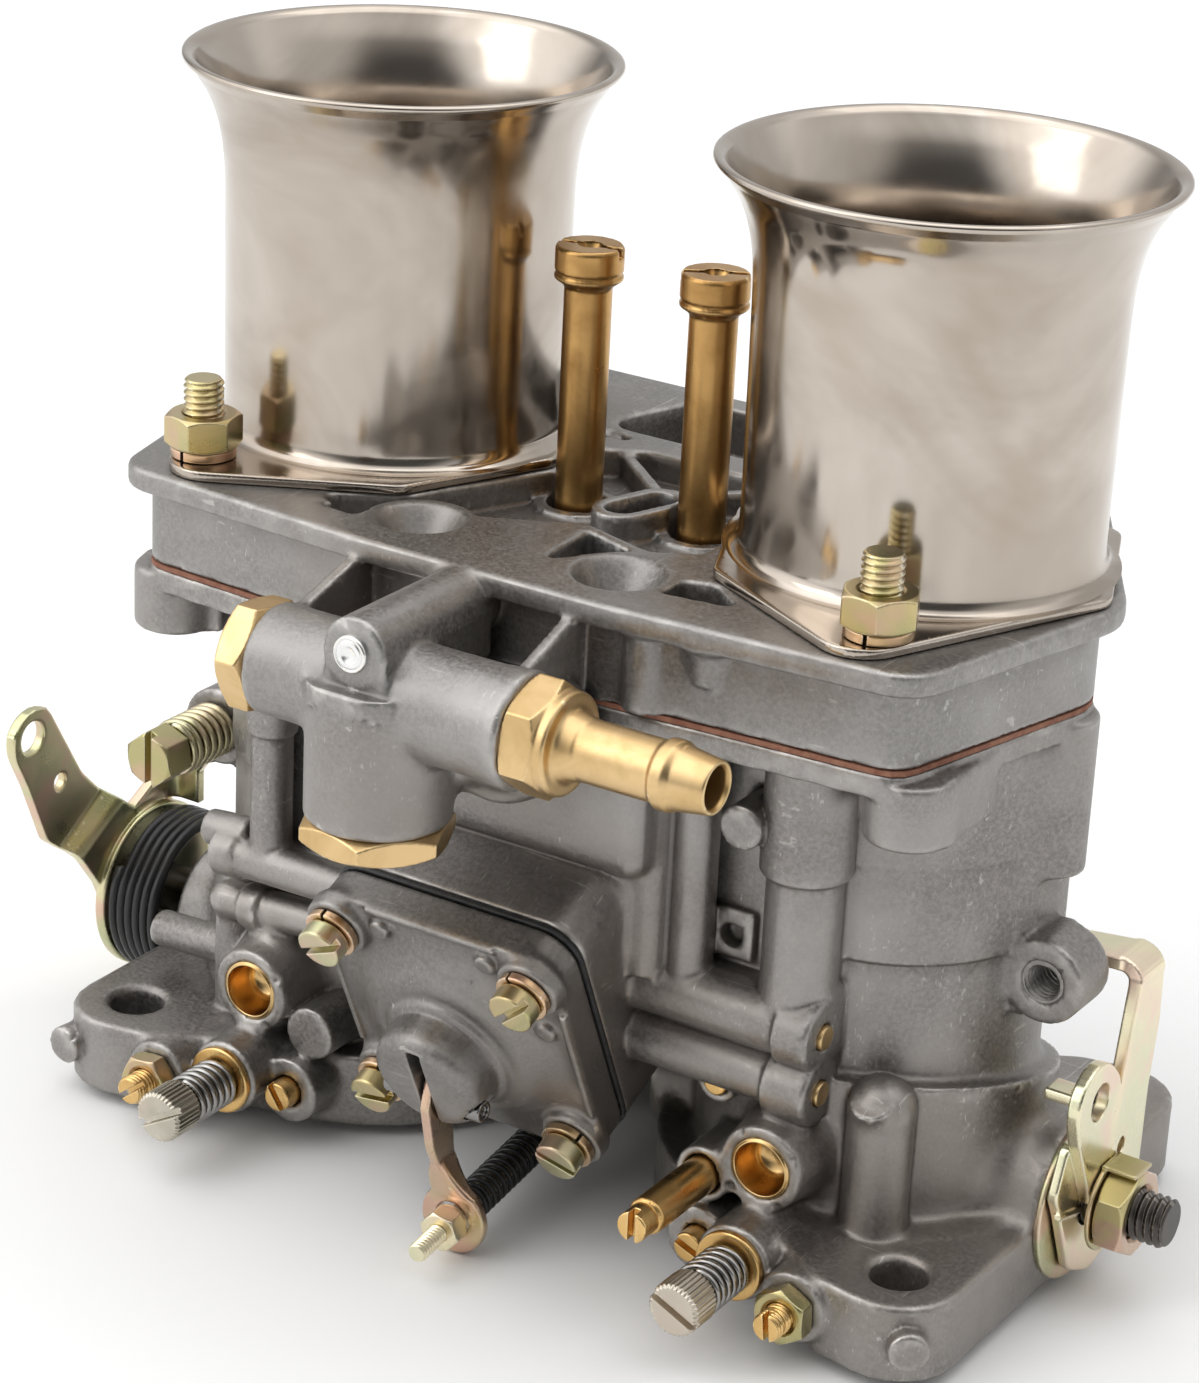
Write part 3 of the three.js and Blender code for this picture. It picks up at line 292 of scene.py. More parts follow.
def plate(corners, low, high, axis=2, rounding=0.0, holes=(), steps=6):
    """An outline raised along one axis, with round holes (u, v, r)."""
    points = outline(corners, steps)
    others = [(1, 2), (0, 2), (0, 1)][axis]
    low, high = min(low, high), max(low, high)

    def distance(x, y, z):
        p = (x, y, z)
        u, v, w = p[others[0]], p[others[1]], p[axis]
        flat = flat_distance(points, u, v)
        for hu, hv, hr in holes:
            flat = np.maximum(flat, hr - np.hypot(u - hu, v - hv))
        cap = np.abs(w - (low + high) / 2) - (high - low) / 2
        return outer_box(flat + rounding, cap + rounding) - rounding

    lows, highs = np.zeros(3), np.zeros(3)
    lows[axis], highs[axis] = low, high
    for k, o in enumerate(others):
        lows[o], highs[o] = points[:, k].min(), points[:, k].max()
    return Shape(lows, highs, distance)


def bent_plate(corners, middle_x, thickness, low, high, rounding=0.35, holes=()):
    """A sheet whose outline lies in y and z; middle_x gives its x and its slope there."""
    points = outline(corners)

    def distance(x, y, z):
        flat = flat_distance(points, y, z)
        for hy, hz, hr in holes:
            flat = np.maximum(flat, hr - np.hypot(y - hy, z - hz))
        at, slope = middle_x(y, z)
        cap = np.abs(x - at) / np.sqrt(1 + slope**2) - thickness / 2
        return outer_box(flat + rounding, cap + rounding) - rounding

    return Shape([low, *points.min(0)], [high, *points.max(0)], distance)


def placed(shape, matrix):
    """The same shape in another frame."""
    m = np.array(matrix, float)
    back = np.linalg.inv(m)
    xs, ys, zs = zip(shape.low, shape.high)
    corners = np.array([[x, y, z, 1] for x in xs for y in ys for z in zs])
    moved = (corners @ m.T)[:, :3]

    def distance(x, y, z):
        local = [back[i, 0] * x + back[i, 1] * y + back[i, 2] * z + back[i, 3] for i in range(3)]
        return shape.distance(*local)

    return Shape(moved.min(0), moved.max(0), distance)


def below_plane(shape, point, normal):
    """The part of a shape on the inner side of a plane."""
    n = np.array(normal, float) / np.linalg.norm(normal)
    d = float(np.dot(n, point))

    def distance(x, y, z):
        return np.maximum(shape.distance(x, y, z), n[0] * x + n[1] * y + n[2] * z - d)

    return Shape(shape.low, shape.high, distance)


def turned_by(angle):
    """The frame turned about +Z."""
    c, s = math.cos(angle), math.sin(angle)
    return [[c, -s, 0, 0], [s, c, 0, 0], [0, 0, 1, 0], [0, 0, 0, 1]]


def shift(x, y, z):
    """The frame moved to a point."""
    return Matrix.Translation((x, y, z))


def along(a, b):
    """The frame whose +Z runs from a to b, with its origin at a."""
    a, b = Vector(a), Vector(b)
    turn = (b - a).to_track_quat("Z", "X").to_matrix().to_4x4()
    return np.array(Matrix.Translation(a) @ turn)


def wobble(t, period):
    """A saw-tooth wave between 0 and 1."""
    return np.abs(((t / period) % 1.0) * 2 - 1)


def threaded(length, r, pitch, depth=None, chamfer=None):
    """A threaded stem on local +Z from 0 to length."""
    depth = 0.55 * pitch if depth is None else depth
    chamfer = depth if chamfer is None else chamfer

    def distance(x, y, z):
        rad = np.hypot(x, y)
        turn = np.arctan2(y, x) / (2 * math.pi)
        cutback = depth * wobble(z - turn * pitch, pitch)
        ends = np.maximum(chamfer - np.minimum(z, length - z), 0)
        side = (rad - np.minimum(r - cutback, r - ends)) * 0.75
        return np.maximum(side, np.maximum(-z, z - length))

    return Shape([-r, -r, 0], [r, r, length], distance)


def knurled(length, r, teeth, depth):
    """A knob on local +Z with straight knurling."""
    def distance(x, y, z):
        rad = np.hypot(x, y)
        turn = np.arctan2(y, x) / (2 * math.pi)
        cutback = depth * wobble(turn, 1.0 / teeth)
        ends = np.maximum(0.5 - np.minimum(z, length - z), 0)
        return np.maximum((rad - (r - cutback - ends * 0.8)) * 0.8, np.maximum(-z, z - length))

    return Shape([-r, -r, 0], [r, r, length], distance)


def hexagon(length, across, chamfers=(True, True), turn=0.0, rounding=0.12):
    """A hexagon bar on local +Z, its ends chamfered as turned stock is."""
    half = across / 2

    def distance(x, y, z):
        c, s = math.cos(turn), math.sin(turn)
        u, v = x * c + y * s, y * c - x * s
        flat = np.maximum(
            np.abs(u), np.maximum(np.abs(u * 0.5 + v * 0.8660254), np.abs(u * 0.5 - v * 0.8660254)),
        ) - half
        d = outer_box(flat + rounding, np.abs(z - length / 2) - length / 2 + rounding) - rounding
        rad = np.hypot(x, y)
        if chamfers[0]:
            d = np.maximum(d, (rad - half * 0.97 - 1.7 * z) * 0.507)
        if chamfers[1]:
            d = np.maximum(d, (rad - half * 0.97 - 1.7 * (length - z)) * 0.507)
        return d

    r = across * 0.58
    return Shape([-r, -r, 0], [r, r, length], distance)


def lathe_shape(profile):
    """A turned solid on local +Z; profile is (radius, z) from the bottom up, closed along the axis."""
    points = np.array([(0.0, profile[0][1])] + [tuple(p) for p in profile] + [(0.0, profile[-1][1])])
    mirror = np.array([(-r, z) for r, z in points[::-1] if r > 0])
    ringed = np.vstack([points[1:-1], mirror])
    r = max(p[0] for p in profile)

    def distance(x, y, z):
        return flat_distance(ringed, np.hypot(x, y), z + 0 * x)

    zs = [p[1] for p in profile]
    return Shape([-r, -r, min(zs)], [r, r, max(zs)], distance)


# ---- meshes ----
def mesh_from(name, parts):
    mesh = bpy.data.meshes.new(name)
    vertices, loops, sizes = [], [], []
    offset = 0
    for points, faces in parts:
        vertices.append((np.asarray(points) + ORIGIN).astype(np.float32) / MM)
        for f in faces:
            f = np.asarray(f)
            if len(f):
                loops.append((f + offset).ravel())
                sizes.append(np.full(len(f), f.shape[1]))
        offset += len(points)
    vertices, loops, sizes = np.vstack(vertices), np.concatenate(loops), np.concatenate(sizes)
    mesh.vertices.add(len(vertices))
    mesh.vertices.foreach_set("co", vertices.ravel())
    mesh.loops.add(len(loops))
    mesh.loops.foreach_set("vertex_index", loops.astype(np.int32))
    mesh.polygons.add(len(sizes))
    mesh.polygons.foreach_set("loop_start", np.concatenate([[0], np.cumsum(sizes)[:-1]]).astype(np.int32))
    mesh.polygons.foreach_set("use_smooth", np.ones(len(sizes), bool))
    mesh.update(calc_edges=True)
    mesh.validate()
    return mesh


PIECES = []


def piece(name, parts, material, body, node=(), sharp=None):
    """Puts a finished piece on its body, standing for the CAD nodes named."""
    mesh = mesh_from(name, parts)
    mesh.materials.append(material)
    if sharp:
        mesh.set_sharp_from_angle(angle=math.radians(sharp))
    made = bpy.data.objects.new(name, mesh)
    bpy.context.scene.collection.objects.link(made)
    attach(made, body)
    nodes = [node] if isinstance(node, str) else list(node)
    if nodes:
        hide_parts(*nodes)
    PIECES.append(made)
    return made


def moved(part, matrix):
    points, faces = part
    m = np.array(matrix, float)
    points = points @ m[:3, :3].T + m[:3, 3]
    if np.linalg.det(m[:3, :3]) < 0:
        faces = [np.asarray(f)[:, ::-1] for f in faces]
    return points, faces


def solid(shapes, voxel, cuts=(), blend=0.0, adaptivity=0.0):
    """A block made of shapes joined and cut, as polygons; an entry may be (shape, blend)."""
    pairs = [s if isinstance(s, tuple) else (s, blend) for s in shapes]
    low = np.min([s.low for s, _ in pairs], axis=0)
    high = np.max([s.high for s, _ in pairs], axis=0)
    made = Block(low, high, voxel)
    for s, k in pairs:
        made.add(s, k)
    for s in cuts:
        s, k = s if isinstance(s, tuple) else (s, 0.0)
        made.cut(s, k)
    return made.polygons(adaptivity)


def spun(profile, segments=96, closed=True):
    """A turned surface on local +Z from (radius, z) points; a closed profile makes a ring."""
    p = np.array(profile, float)
    n = len(p)
    angles = np.arange(segments) * 2 * math.pi / segments
    x, y = np.outer(np.cos(angles), p[:, 0]), np.outer(np.sin(angles), p[:, 0])
    points = np.stack([x, y, np.tile(p[:, 1], (segments, 1))], axis=-1).reshape(-1, 3)
    i = np.arange(segments)[:, None]
    j = np.arange(n if closed else n - 1)[None, :]
    a = i * n + j
    b = ((i + 1) % segments) * n + j
    c = ((i + 1) % segments) * n + (j + 1) % n
    d = i * n + (j + 1) % n
    quads = np.stack([a, b, c, d], axis=-1).reshape(-1, 4)
    faces = [quads]
    if signed_volume(points, faces) < 0:
        faces = [quads[:, ::-1]]
    return points, faces


def smooth_profile(points, steps=10):
    """A Catmull-Rom curve through the points."""
    p = np.array(points, float)
    p = np.vstack([2 * p[0] - p[1], p, 2 * p[-1] - p[-2]])
    out = []
    for i in range(1, len(p) - 2):
        for k in range(steps):
            t = k / steps
            out.append(
                0.5
                * (
                    2 * p[i]
                    + (p[i + 1] - p[i - 1]) * t
                    + (2 * p[i - 1] - 5 * p[i] + 4 * p[i + 1] - p[i + 2]) * t * t
                    + (3 * p[i] - p[i - 1] - 3 * p[i + 1] + p[i + 2]) * t**3
                )
            )
    out.append(p[-2])
    return out


def wire(path, r, segments=12):
    """A round wire swept along a path of points, with rounded ends."""
    p = np.array(path, float)
    tangent = np.gradient(p, axis=0)
    tangent /= np.linalg.norm(tangent, axis=1)[:, None]
    helper = np.array([0.0, 0.0, 1.0]) if abs(tangent[0][2]) < 0.9 else np.array([1.0, 0.0, 0.0])
    normal = np.cross(tangent[0], helper)
    normals = []
    for t in tangent:
        normal = normal - t * (normal @ t)
        normal /= np.linalg.norm(normal)
        normals.append(normal)
    normals = np.array(normals)
    side = np.cross(tangent, normals)
    angles = np.arange(segments) * 2 * math.pi / segments
    across = np.cos(angles)[None, :, None] * normals[:, None, :]
    upward = np.sin(angles)[None, :, None] * side[:, None, :]
    points = (p[:, None, :] + r * (across + upward)).reshape(-1, 3)
    n = len(p)
    i = np.arange(n - 1)[:, None]
    j = np.arange(segments)[None, :]
    following = (j + 1) % segments
    row, next_row = i * segments, (i + 1) * segments
    corners = [row + j, row + following, next_row + following, next_row + j]
    quads = np.stack(corners, axis=-1).reshape(-1, 4)
    tips = np.vstack([p[0] - tangent[0] * r * 0.5, p[-1] + tangent[-1] * r * 0.5])
    points = np.vstack([points, tips])
    first, last = len(points) - 2, len(points) - 1
    j = np.arange(segments)
    k = (j + 1) % segments
    start = np.stack([np.full(segments, first), k, j], axis=-1)
    stop = np.stack([np.full(segments, last), (n - 1) * segments + j, (n - 1) * segments + k], axis=-1)
    faces = [np.vstack([start, stop]), quads]
    if signed_volume(points, faces) < 0:
        faces = [f[:, ::-1] for f in faces]
    return points, faces


def coil(a, b, radius, r, turns, dead=0.8, phase=0.0):
    """A coil spring from a to b whose end turns lie flat."""
    length = float(np.linalg.norm(np.array(b, float) - np.array(a, float)))
    steps = int(turns * 40)
    path = []
    for i in range(steps + 1):
        turn = turns * i / steps
        lift = min(max(turn - dead, 0), turns - 2 * dead) / (turns - 2 * dead)
        rest = min(turn, dead) + max(turn - (turns - dead), 0)
        z = r + rest * 2 * r * 0.9 + lift * (length - 2 * r - 2 * dead * 2 * r * 0.9)
        angle = 2 * math.pi * turn + phase
        path.append((radius * math.cos(angle), radius * math.sin(angle), z))
    return moved(wire(path, r), along(a, b))


# ---- materials ----
class Nodes:
    """A small way to write a node tree."""

    def __init__(self, name):
        self.material = bpy.data.materials.new(name)
        self.material.use_nodes = True
        self.tree = self.material.node_tree
        self.bsdf = self.tree.nodes["Principled BSDF"]
        self.place = self.add("ShaderNodeTexCoord").outputs["Object"]

    def add(self, kind, **values):
        node = self.tree.nodes.new(kind)
        for key, value in values.items():
            if isinstance(value, bpy.types.NodeSocket):
                self.tree.links.new(value, node.inputs[key.replace("_", " ")])
            elif hasattr(node, key) and not key[0].isupper():
                setattr(node, key, value)
            else:
                node.inputs[key.replace("_", " ")].default_value = value
        return node

    def link(self, a, b):
        self.tree.links.new(a, b)

    def noise(self, scale, detail=3.0, rough=0.55, distortion=0.0):
        return self.add(
            "ShaderNodeTexNoise", Vector=self.place, Scale=scale, Detail=detail, Roughness=rough,
            Distortion=distortion,
        ).outputs["Fac"]

    def grey(self, value, low, high, a=0.0, b=1.0):
        node = self.add("ShaderNodeMapRange")
        self.link(value, node.inputs["Value"])
        for k, v in {"From Min": a, "From Max": b, "To Min": low, "To Max": high}.items():
            node.inputs[k].default_value = v
        return node.outputs["Result"]

    def maths(self, operation, a, b):
        node = self.add("ShaderNodeMath", operation=operation)
        for i, v in enumerate((a, b)):
            if isinstance(v, bpy.types.NodeSocket):
                self.link(v, node.inputs[i])
            else:
                node.inputs[i].default_value = v
        return node.outputs[0]

    def mix(self, fac, a, b, blend="MIX"):
        node = self.add("ShaderNodeMix", data_type="RGBA", blend_type=blend)
        for i, v in ((0, fac), (6, a), (7, b)):
            if isinstance(v, bpy.types.NodeSocket):
                self.link(v, node.inputs[i])
            else:
                node.inputs[i].default_value = v if i == 0 else (*v, 1)
        return node.outputs[2]

    def bump(self, height, strength, distance, normal=None):
        node = self.add("ShaderNodeBump", Strength=strength, Distance=distance / MM, Height=height)
        if normal is not None:
            self.link(normal, node.inputs["Normal"])
        return node.outputs["Normal"]

    def finish(self, colour, roughness, metallic=1.0, normal=None):
        for key, value in (
            ("Base Color", colour), ("Roughness", roughness), ("Metallic", metallic), ("Normal", normal),
        ):
            if value is None:
                continue
            if isinstance(value, bpy.types.NodeSocket):
                self.link(value, self.bsdf.inputs[key])
            else:
                self.bsdf.inputs[key].default_value = (*value, 1) if key == "Base Color" else value
        return self.material


def casting(name, light=(0.335, 0.318, 0.304), dark=(0.20, 0.188, 0.177)):
    """Die-cast alloy, blasted: sandy grain, stained patches, edges rubbed bright, and painted shade darkening
    its hollows.
    """
    n = Nodes(name)
    patches = n.noise(38, 4, 0.6, 0.4)
    grain = n.noise(1500, 3, 0.7)
    pits = n.noise(520, 2, 0.6)
    colour = n.mix(n.grey(patches, 0, 1, 0.38, 0.68), dark, light)
    colour = n.mix(n.grey(grain, 0.0, 0.65, 0.38, 0.72), colour, tuple(c * 1.3 for c in light))
    warm = n.noise(21, 2)
    colour = n.mix(n.grey(warm, 0.0, 0.45, 0.5, 0.72), colour, (0.27, 0.228, 0.19))
    edge = n.add("ShaderNodeNewGeometry").outputs["Pointiness"]
    worn = n.grey(n.noise(300, 3), 0.1, 1, 0.38, 0.62)
    bright = n.maths("MULTIPLY", n.grey(edge, 0, 0.9, 0.515, 0.57), worn)
    colour = n.mix(bright, colour, (0.56, 0.54, 0.515))
    # Painted shade: the hollows, where pointiness is low, are darkened to near black.
    painted_hollow_shade = n.grey(edge, 0.75, 0, 0.44, 0.495)
    colour = n.mix(painted_hollow_shade, colour, (0.085, 0.076, 0.07))
    for turn, stretch in (((0.3, 0.9, 0.5), (1, 24, 6)), ((1.1, 0.2, 1.4), (20, 1, 7))):
        across = n.add("ShaderNodeMapping", Vector=n.place, Rotation=turn, Scale=stretch).outputs[0]
        lines = n.add("ShaderNodeTexNoise", Vector=across, Scale=90.0, Detail=3.0).outputs["Fac"]
        where = n.grey(n.noise(55, 2), 0, 1, 0.45, 0.6)
        rubbed = n.maths("MULTIPLY", n.grey(lines, 0, 0.55, 0.66, 0.70), where)
        colour = n.mix(rubbed, colour, (0.58, 0.56, 0.53))
    rough = n.grey(grain, 0.36, 0.56, 0.3, 0.7)
    rough = n.maths("SUBTRACT", rough, n.maths("MULTIPLY", bright, 0.14))
    drawn = n.add("ShaderNodeMapping", Vector=n.place, Rotation=(0.3, 0.9, 0.5), Scale=(1, 22, 5)).outputs[0]
    scratches = n.add("ShaderNodeTexNoise", Vector=drawn, Scale=70.0, Detail=2.0).outputs["Fac"]
    normal = n.bump(pits, 0.30, 0.10)
    normal = n.bump(grain, 0.42, 0.06, normal)
    normal = n.bump(n.grey(scratches, 0, 1, 0.62, 0.7), 0.12, 0.02, normal)
    return n.finish(colour, rough, 0.93, normal)


def polished(name):
    """Nickel plate: warm and nearly a mirror, with wiped smears, faint waves, and brown patches that are
    partly stains and partly painted reflection.
    """
    n = Nodes(name)
    smear = n.noise(26, 4, 0.6, 1.2)
    fine = n.noise(240, 3)
    colour = n.mix(n.grey(smear, 0, 1, 0.35, 0.7), (0.54, 0.485, 0.425), (0.40, 0.345, 0.29))
    # Brown patches: partly staining, partly painted reflection of the brass jets.
    stain_and_reflection = n.noise(17, 3, 0.6, 2.0)
    colour = n.mix(n.grey(stain_and_reflection, 0, 0.6, 0.52, 0.72), colour, (0.335, 0.27, 0.21))
    cloud = n.noise(60, 3, 0.6, 0.8)
    rough = n.maths("ADD", n.grey(smear, 0.10, 0.20, 0.4, 0.7), n.grey(cloud, 0.0, 0.10, 0.5, 0.75))
    rough = n.maths("ADD", rough, n.grey(fine, 0.0, 0.03))
    normal = n.bump(n.noise(13, 2), 0.25, 0.5)
    normal = n.bump(fine, 0.06, 0.02, normal)
    return n.finish(colour, rough, 1.0, normal)


def turned_brass(name, colour=(0.78, 0.55, 0.22), dark=(0.52, 0.32, 0.10), rough=(0.22, 0.36), axis=2):
    """Turned brass: tool rings, darker tarnish in patches, and painted shade in its hollows."""
    n = Nodes(name)
    tarnish = n.noise(110, 4, 0.6, 0.6)
    base = n.mix(n.grey(tarnish, 0, 0.8, 0.45, 0.75), colour, dark)
    edge = n.add("ShaderNodeNewGeometry").outputs["Pointiness"]
    base = n.mix(n.grey(edge, 0, 0.7, 0.52, 0.60), base, (1.0, 0.84, 0.52))
    # Painted shade: the hollows, where pointiness is low, are darkened towards a deep brown-black.
    base = n.mix(n.grey(edge, 0.6, 0, 0.42, 0.49), base, tuple(c * 0.35 for c in dark))
    rings = n.add(
        "ShaderNodeTexWave", wave_type="BANDS", bands_direction="XYZ"[axis], Vector=n.place, Scale=900.0,
        Distortion=2.0, Detail=2.0,
    ).outputs["Fac"]
    normal = n.bump(rings, 0.10, 0.012)
    normal = n.bump(n.noise(700, 2), 0.12, 0.02, normal)
    return n.finish(base, n.grey(tarnish, rough[0], rough[1], 0.3, 0.75), 1.0, normal)


def passivated(
    name, seed=0.0, main=(0.66, 0.60, 0.36), second=(0.47, 0.50, 0.26), blush=(0.70, 0.46, 0.36), sheen=0.5,
):
    """Yellow zinc plate: gold drifting to olive and pink, paler on rubbed edges, with a painted sheen that
    pales it towards grazing angles.
    """
    n = Nodes(name)
    shifted = n.add("ShaderNodeMapping", Vector=n.place, Location=(seed, seed * 1.7, seed * 0.3)).outputs[0]
    drift = n.add("ShaderNodeTexNoise", Vector=shifted, Scale=75.0, Detail=3.0, Distortion=1.0).outputs["Fac"]
    drift2 = n.add(
        "ShaderNodeTexNoise", Vector=shifted, Scale=120.0, Detail=2.0, Distortion=0.5,
    ).outputs["Fac"]
    # Painted sheen: the colour pales towards grazing angles, by the facing weight, up to the sheen amount.
    painted_sheen_mask = n.add("ShaderNodeLayerWeight", Blend=0.35).outputs["Facing"]
    colour = n.mix(n.grey(drift, 0, 1, 0.40, 0.62), main, second)
    colour = n.mix(n.grey(drift2, 0, 0.85, 0.5, 0.66), colour, blush)
    colour = n.mix(n.grey(painted_sheen_mask, 0, sheen), colour, (0.80, 0.74, 0.60))
    edge = n.add("ShaderNodeNewGeometry").outputs["Pointiness"]
    colour = n.mix(n.grey(edge, 0, 0.75, 0.52, 0.60), colour, (0.88, 0.84, 0.70))
    scuff = n.noise(900, 3, 0.7)
    normal = n.bump(scuff, 0.16, 0.02)
    normal = n.bump(n.noise(160, 2), 0.12, 0.06, normal)
    rough = n.maths("ADD", n.grey(drift2, 0.20, 0.34, 0.3, 0.7), n.grey(scuff, 0, 0.08))
    return n.finish(colour, rough, 1.0, normal)


def dark_metal(name, colour=(0.035, 0.035, 0.037), rub=(0.22, 0.20, 0.18), rough=(0.26, 0.42), metallic=0.85):
    """Oiled or blackened steel, its edges rubbed bare."""
    n = Nodes(name)
    oil = n.noise(180, 3)
    base = n.mix(n.grey(oil, 0, 1, 0.4, 0.7), colour, tuple(c * 1.7 for c in colour))
    edge = n.add("ShaderNodeNewGeometry").outputs["Pointiness"]
    base = n.mix(n.grey(edge, 0, 0.8, 0.525, 0.60), base, rub)
    normal = n.bump(n.noise(800, 3), 0.15, 0.02)
    return n.finish(base, n.grey(oil, rough[0], rough[1], 0.3, 0.7), metallic, normal)


def sheet(name, colour, dark, rough=0.7, scale=600):
    """A mottled sheet that isn't metal: gasket, rubber cloth, plastic."""
    n = Nodes(name)
    mottle = n.noise(scale, 4, 0.6)
    base = n.mix(n.grey(mottle, 0, 1, 0.35, 0.65), colour, dark)
    sheen = n.grey(n.noise(scale / 4, 2), rough - 0.12, rough + 0.1)
    return n.finish(base, sheen, 0.0, n.bump(mottle, 0.4, 0.05))


CAST_BODY = casting("cast_body")
CAST_COVER = casting("cast_cover", (0.325, 0.313, 0.302), (0.205, 0.196, 0.187))
CAST_PUMP = casting("cast_pump", (0.27, 0.258, 0.246), (0.17, 0.16, 0.15))
NICKEL = polished("nickel_plate")
BRASS_X = turned_brass("brass_along_x", (0.69, 0.49, 0.25), (0.47, 0.31, 0.12), (0.27, 0.42), 0)
BRASS_Z = turned_brass("brass_along_z", (0.53, 0.315, 0.115), (0.33, 0.175, 0.055), (0.26, 0.40), 2)
BRASS_Y = turned_brass("brass_along_y", (0.76, 0.50, 0.20), (0.50, 0.29, 0.09), (0.22, 0.36), 1)
COPPER = turned_brass("brass_cup", (0.64, 0.43, 0.19), (0.44, 0.26, 0.09), (0.18, 0.30), 1)
ZINC = passivated("yellow_zinc")
ZINC_NUT = passivated(
    "yellow_zinc_nut", 0.31, (0.54, 0.44, 0.21), (0.43, 0.39, 0.18), (0.56, 0.39, 0.26), 0.3,
)
SCREW_GREY = passivated("grey_steel", 0.44, (0.60, 0.56, 0.48), (0.46, 0.43, 0.36), (0.58, 0.50, 0.42), 0.35)
ZINC_PALE = passivated("pale_zinc", 0.77, (0.90, 0.80, 0.56), (0.76, 0.76, 0.52), (0.90, 0.68, 0.56))
ZINC_RED = passivated("red_zinc", 0.13, (0.62, 0.40, 0.30), (0.58, 0.47, 0.26), (0.64, 0.36, 0.30))
STEEL = dark_metal("spring_steel", (0.22, 0.215, 0.21), (0.62, 0.60, 0.58), (0.18, 0.30), 1.0)
BLACK = dark_metal("black_wire", (0.012, 0.012, 0.013), (0.06, 0.06, 0.06), (0.28, 0.42), 0.4)
OXIDE = dark_metal("black_oxide", (0.075, 0.068, 0.062), (0.30, 0.27, 0.24), (0.30, 0.45), 1.0)
RUBBER = sheet("diaphragm_cloth", (0.012, 0.012, 0.013), (0.03, 0.03, 0.03), 0.55)
GASKET = sheet("gasket_paper", (0.20, 0.075, 0.045), (0.30, 0.14, 0.085), 0.8)
PLASTIC = sheet("float_plastic", (0.03, 0.028, 0.025), (0.055, 0.05, 0.045), 0.6)


# ---- outlines shared by the castings ----
def mirrored(corners):
    """Corners (x, y, radius) on the other side of x = 0."""
    return [(-x, y, r) for x, y, r in corners][::-1]


HALF_COVER = [(20, -43.2, 0), (66, -39.8, 7), (76, 2.5, 12), (51.5, 46, 8)]
HALF_RIM = [(20, -40, 0), (63.2, -37, 5), (72.6, 2.2, 10), (49.6, 43, 6)]
HALF_EARS = [(40, -30, 0), (59, -41.6, 8), (77.3, -45, 9.5), (77.3, 45, 9.5), (59, 41.6, 8), (40, 30, 0)]
COVER_OUTLINE = HALF_COVER + mirrored(HALF_COVER)
RIM_OUTLINE = HALF_RIM + mirrored(HALF_RIM)
EAR_HOLE = (67.6, 33.2, 4.2)

PUMP = np.array(shift(0, -43.8, 33.2) @ Matrix.Rotation(math.radians(115), 4, "X"))
PUMP_HALF = (20.6, 21.2)
SQUARE = ((1, -1), (1, 1), (-1, 1), (-1, -1))
PUMP_SCREWS = [(16.3 * i, 16.2 * j) for i in (-1, 1) for j in (-1, 1)]
PUMP_OUTLINE = [(x * PUMP_HALF[0], y * PUMP_HALF[1], 5.5) for x, y in SQUARE]


# ---- throttle body ----
def barrel_shapes(s):
    x = s * BARREL_X
    collar = bar((x, 0, 6), (x, 0, 46), 26.4, rounding=0.8)
    collar = below_plane(collar, (x, -26, 33.0), (-s * 0.10, 0.22, 1))
    side = sorted((s * 60, s * 69.5))
    return [
        (bar((x, 0, 0), (x, 0, BODY_TOP - 1), 23.2), 2.2),
        (collar, 2.4),
        (bar((x, 0, 51.1), (x, 0, BODY_TOP - 1), 23.75, rounding=0.25), 0.3),
        (bar((x, 0, 66), (x, 0, BODY_TOP - 1), 23.8, 25.2), 1.0),
        (bar((s * 50, 0, SHAFT_Z), (s * 77.6, 0, SHAFT_Z), 12.4, 11.2, rounding=0.4), 4.0),
        (bar((x, 0, SHAFT_Z), (s * 12, 0, SHAFT_Z), 10.2, rounding=0.6), 3.0),
        (box((side[0], -6, 43), (side[1], 8, 81), 2.5), 3.0),
        (bar((s * 68, 1, 62), (s * 68, 1, BODY_TOP - 1), 5.6, rounding=0.6), 1.6),
        (bar((s * 50, 33, 74), (s * 50, 33, BODY_TOP - 1), 6.2, rounding=0.8), 1.5),
        (bar((s * 62, -31, 76), (s * 62, -31, BODY_TOP - 1), 6.2, rounding=0.9), 1.5),
        (box((s * 54, -31, 76), (s * 68, -16, BODY_TOP - 1), 0.8), 1.5),
        (bar((x, MIX_FACE, MIX_Z), (x, -24, MIX_Z), 5.8, rounding=0.5), 2.0),
        (bar((s * 56, -43.0, BYPASS_Z), (s * 56, -30, BYPASS_Z), 5.4, rounding=0.5), 1.2),
        (bar((s * 36.5, -35.8, 7.2), (s * 36.5, -24, 7.2), 5.2, rounding=0.5), 1.2),
        (box((s * 60, -6.4, 41.6), (s * 70, 2, 53.8), 0.5), 0.8),
        (bar((s * LUG_X, -7, LUG_Z), (s * LUG_X, 2, LUG_Z), 6.3, rounding=0.5), 0.4),
        (
            plate(
                [(s * 58, 42.5, 0), (s * 72.8, 42.0, 0), (s * 72.8, 54.2, 0), (s * 58, 54.5, 0)], -5.4, 2.4,
                axis=1, rounding=0.8,
            ),
            1.6,
        ),
    ]


